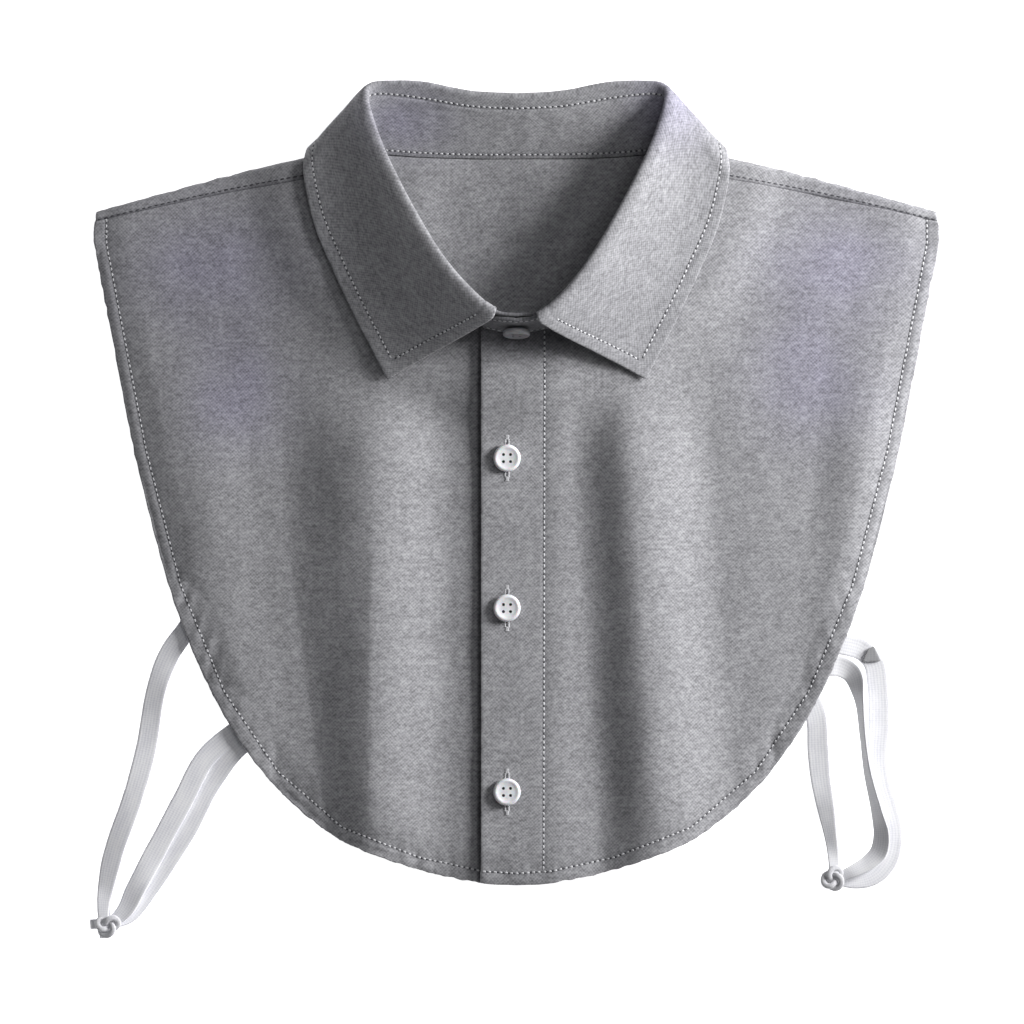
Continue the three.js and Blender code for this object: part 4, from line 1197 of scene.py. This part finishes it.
def tape(name, node, out, back, tone, gather):
    """A tape that runs out, turns over and comes back, narrower within a gather's reach of its turn."""
    p, side, heading = tape_stops(TAPES[out])
    q, q_side = tape_stops(TAPES[back])[:2]
    start, end = p[-1], q[-1]
    radius = abs(start[2] - end[2]) / 2
    turn = []
    for angle in np.linspace(0, math.pi, 14)[1:-1]:
        t = start + heading[-1] * radius * math.sin(angle)
        t[2] = (start[2] + end[2]) / 2 + (start[2] - end[2]) / 2 * math.cos(angle)
        turn.append(t)
    line = np.vstack([p, turn, q[::-1]])
    sides = np.vstack([side, np.repeat(side[-1:], len(turn), 0), q_side[::-1]])
    across = np.linspace(-0.5, 0.5, 13)
    along = lengths_of(line)
    to_turn = np.abs(along - along[len(p) + len(turn) // 2])
    wide = (TAPE_WIDTH - 0.5) * (1 + 0.03 * smooth_noise(along, 0, 24, len(name)))
    wide = wide * mix(0.42, 1, ease(2, gather, to_turn))
    grid = line[:, None] + sides[:, None] * across[None, :, None] * wide[:, None, None]
    uv = np.stack(np.broadcast_arrays((across * TAPE_WIDTH)[None, :], along[:, None]), -1)
    obj = wall(name, grid, 0.8, uv, {"tone": tone})
    finish_piece(obj, "elastic", node)


def knot(name, place, level, tone, angle):
    """A small tied knot where the tapes meet: a three-lobed loop of thin elastic."""
    steps, sides = 90, 10
    turns = 2 * math.pi * np.arange(steps) / steps
    reach = 2.6 + 1.3 * np.cos(3 * turns)
    line = stack(reach * np.cos(2 * turns) * 1.15, reach * np.sin(2 * turns), 1.1 * np.sin(3 * turns))
    cos, sin = math.cos(angle), math.sin(angle)
    line = line @ np.array([[cos, sin, 0], [-sin, cos, 0], [0, 0, 1]])
    ahead = unit(np.roll(line, -1, 0) - np.roll(line, 1, 0))
    side = unit(np.cross(ahead, [0, 0, 1]))
    up = np.cross(side, ahead)
    ring = [line + side * 1.15 * math.cos(a) + up * 0.8 * math.sin(a)
            for a in 2 * math.pi * np.arange(sides) / sides]
    points = np.stack(ring, axis=1).reshape(-1, 3) + [place[0] * SHOULDER_HALF, place[1] * BIB_LENGTH, level]
    i, k = np.meshgrid(np.arange(steps), np.arange(sides), indexing="ij")
    j, m = (i + 1) % steps, (k + 1) % sides
    faces = np.stack([i, i, j, j], -1) * sides + np.stack([k, m, m, k], -1)
    uv = np.stack([k * 0.8, i * 0.5], -1).reshape(-1, 2)
    obj = new_object(name, points, faces.reshape(-1, 4), uv, {"tone": np.full(steps * sides, tone)})
    finish_piece(obj, "elastic")


def turned_fold():
    """The corner of the right loop that folds over itself, its under side up."""
    corners = np.array([(0.833, 0.350, 2.0), (0.846, 0.354, 2.1), (0.820, 0.332, 1.9), (0.861, 0.333, 1.9)])
    corners[:, :2] *= (SHOULDER_HALF, BIB_LENGTH)
    t = np.linspace(0, 1, 8)
    upper, lower = (mix(corners[k], corners[k + 1], t[:, None]) for k in (0, 2))
    grid = mix(upper[:, None], lower[:, None], t[None, :, None])
    # Its tone of 0.3 darkens it: painted shade on the turned-over under side
    obj = wall("tape_fold_right", grid, 0.7, grid[..., :2], {"tone": 0.3})
    finish_piece(obj, "elastic")


# Tones below 1 darken the right tapes: painted shade
for which, far, back, tone, gather in (
        ("tab_left", "left_tab", "left_tab_return", 1.0, 34),
        ("loop_left", "left_loop_under", "left_loop_over", 1.0, 26),
        ("tab_right", "right_tab", "right_tab_return", 0.82, 50),
        ("loop_right", "right_loop_under", "right_loop_over", 0.72, 30)):
    tape("tape_" + which, "strap_" + which, far, back, tone, gather)
# The knots' tones darken them: painted shade
knot("knot_left", (-0.968, -0.062), 4.9, 0.75, 0.4)
knot("knot_right", (0.75, 0.008), 4.9, 0.55, 1.2)
turned_fold()


# Stage
def stage():
    bpy.ops.mesh.primitive_plane_add(size=6, location=(0, 0, -0.2 * MM))
    floor = bpy.context.object
    floor.name = "floor"
    floor.data.materials.append(floor_material())
    world = bpy.data.worlds.new("studio")
    world.use_nodes = True
    background = world.node_tree.nodes["Background"]
    background.inputs["Color"].default_value = (0.93, 0.95, 1.0, 1)
    background.inputs["Strength"].default_value = 0.07
    bpy.context.scene.world = world
    bpy.context.scene.view_settings.view_transform = "Standard"

    for name, place, size, power in (
            ("key", (0.94, 0.3, 0.43), (0.3, 0.7), 22.6),
            ("fill", (0.5, 0.5, 1.8), (0.9, 0.9), 4.9),
            ("low", (-0.4, -1.3, 1.0), (0.8, 0.8), 1.3)):
        light = bpy.data.lights.new(name, "AREA")
        light.shape = "RECTANGLE"
        light.size, light.size_y = size
        light.energy = power
        obj = place_object(name, light)
        obj.location = place
        obj.rotation_euler = (-Vector(place)).to_track_quat("-Z", "Y").to_euler()

    # The camera looks straight down on the picture's middle, from far enough for a nearly flat view
    half = PICTURE / 2
    focus = to_frame([(half - MIDDLE_COLUMN) * PIXEL, (LEVEL_ROW - half) * PIXEL + LEVEL_UP, 5])
    distance = 6.0
    camera_data = bpy.data.cameras.new("camera")
    camera_data.sensor_width = 36
    camera_data.lens = camera_data.sensor_width * distance / (PICTURE * PIXEL * MM)
    camera_data.clip_end = 20
    camera = place_object("camera", camera_data)
    camera.location = Vector(focus) + Vector((0, 0, distance))
    bpy.context.scene.camera = camera


stage()

bpy.context.view_layer.update()
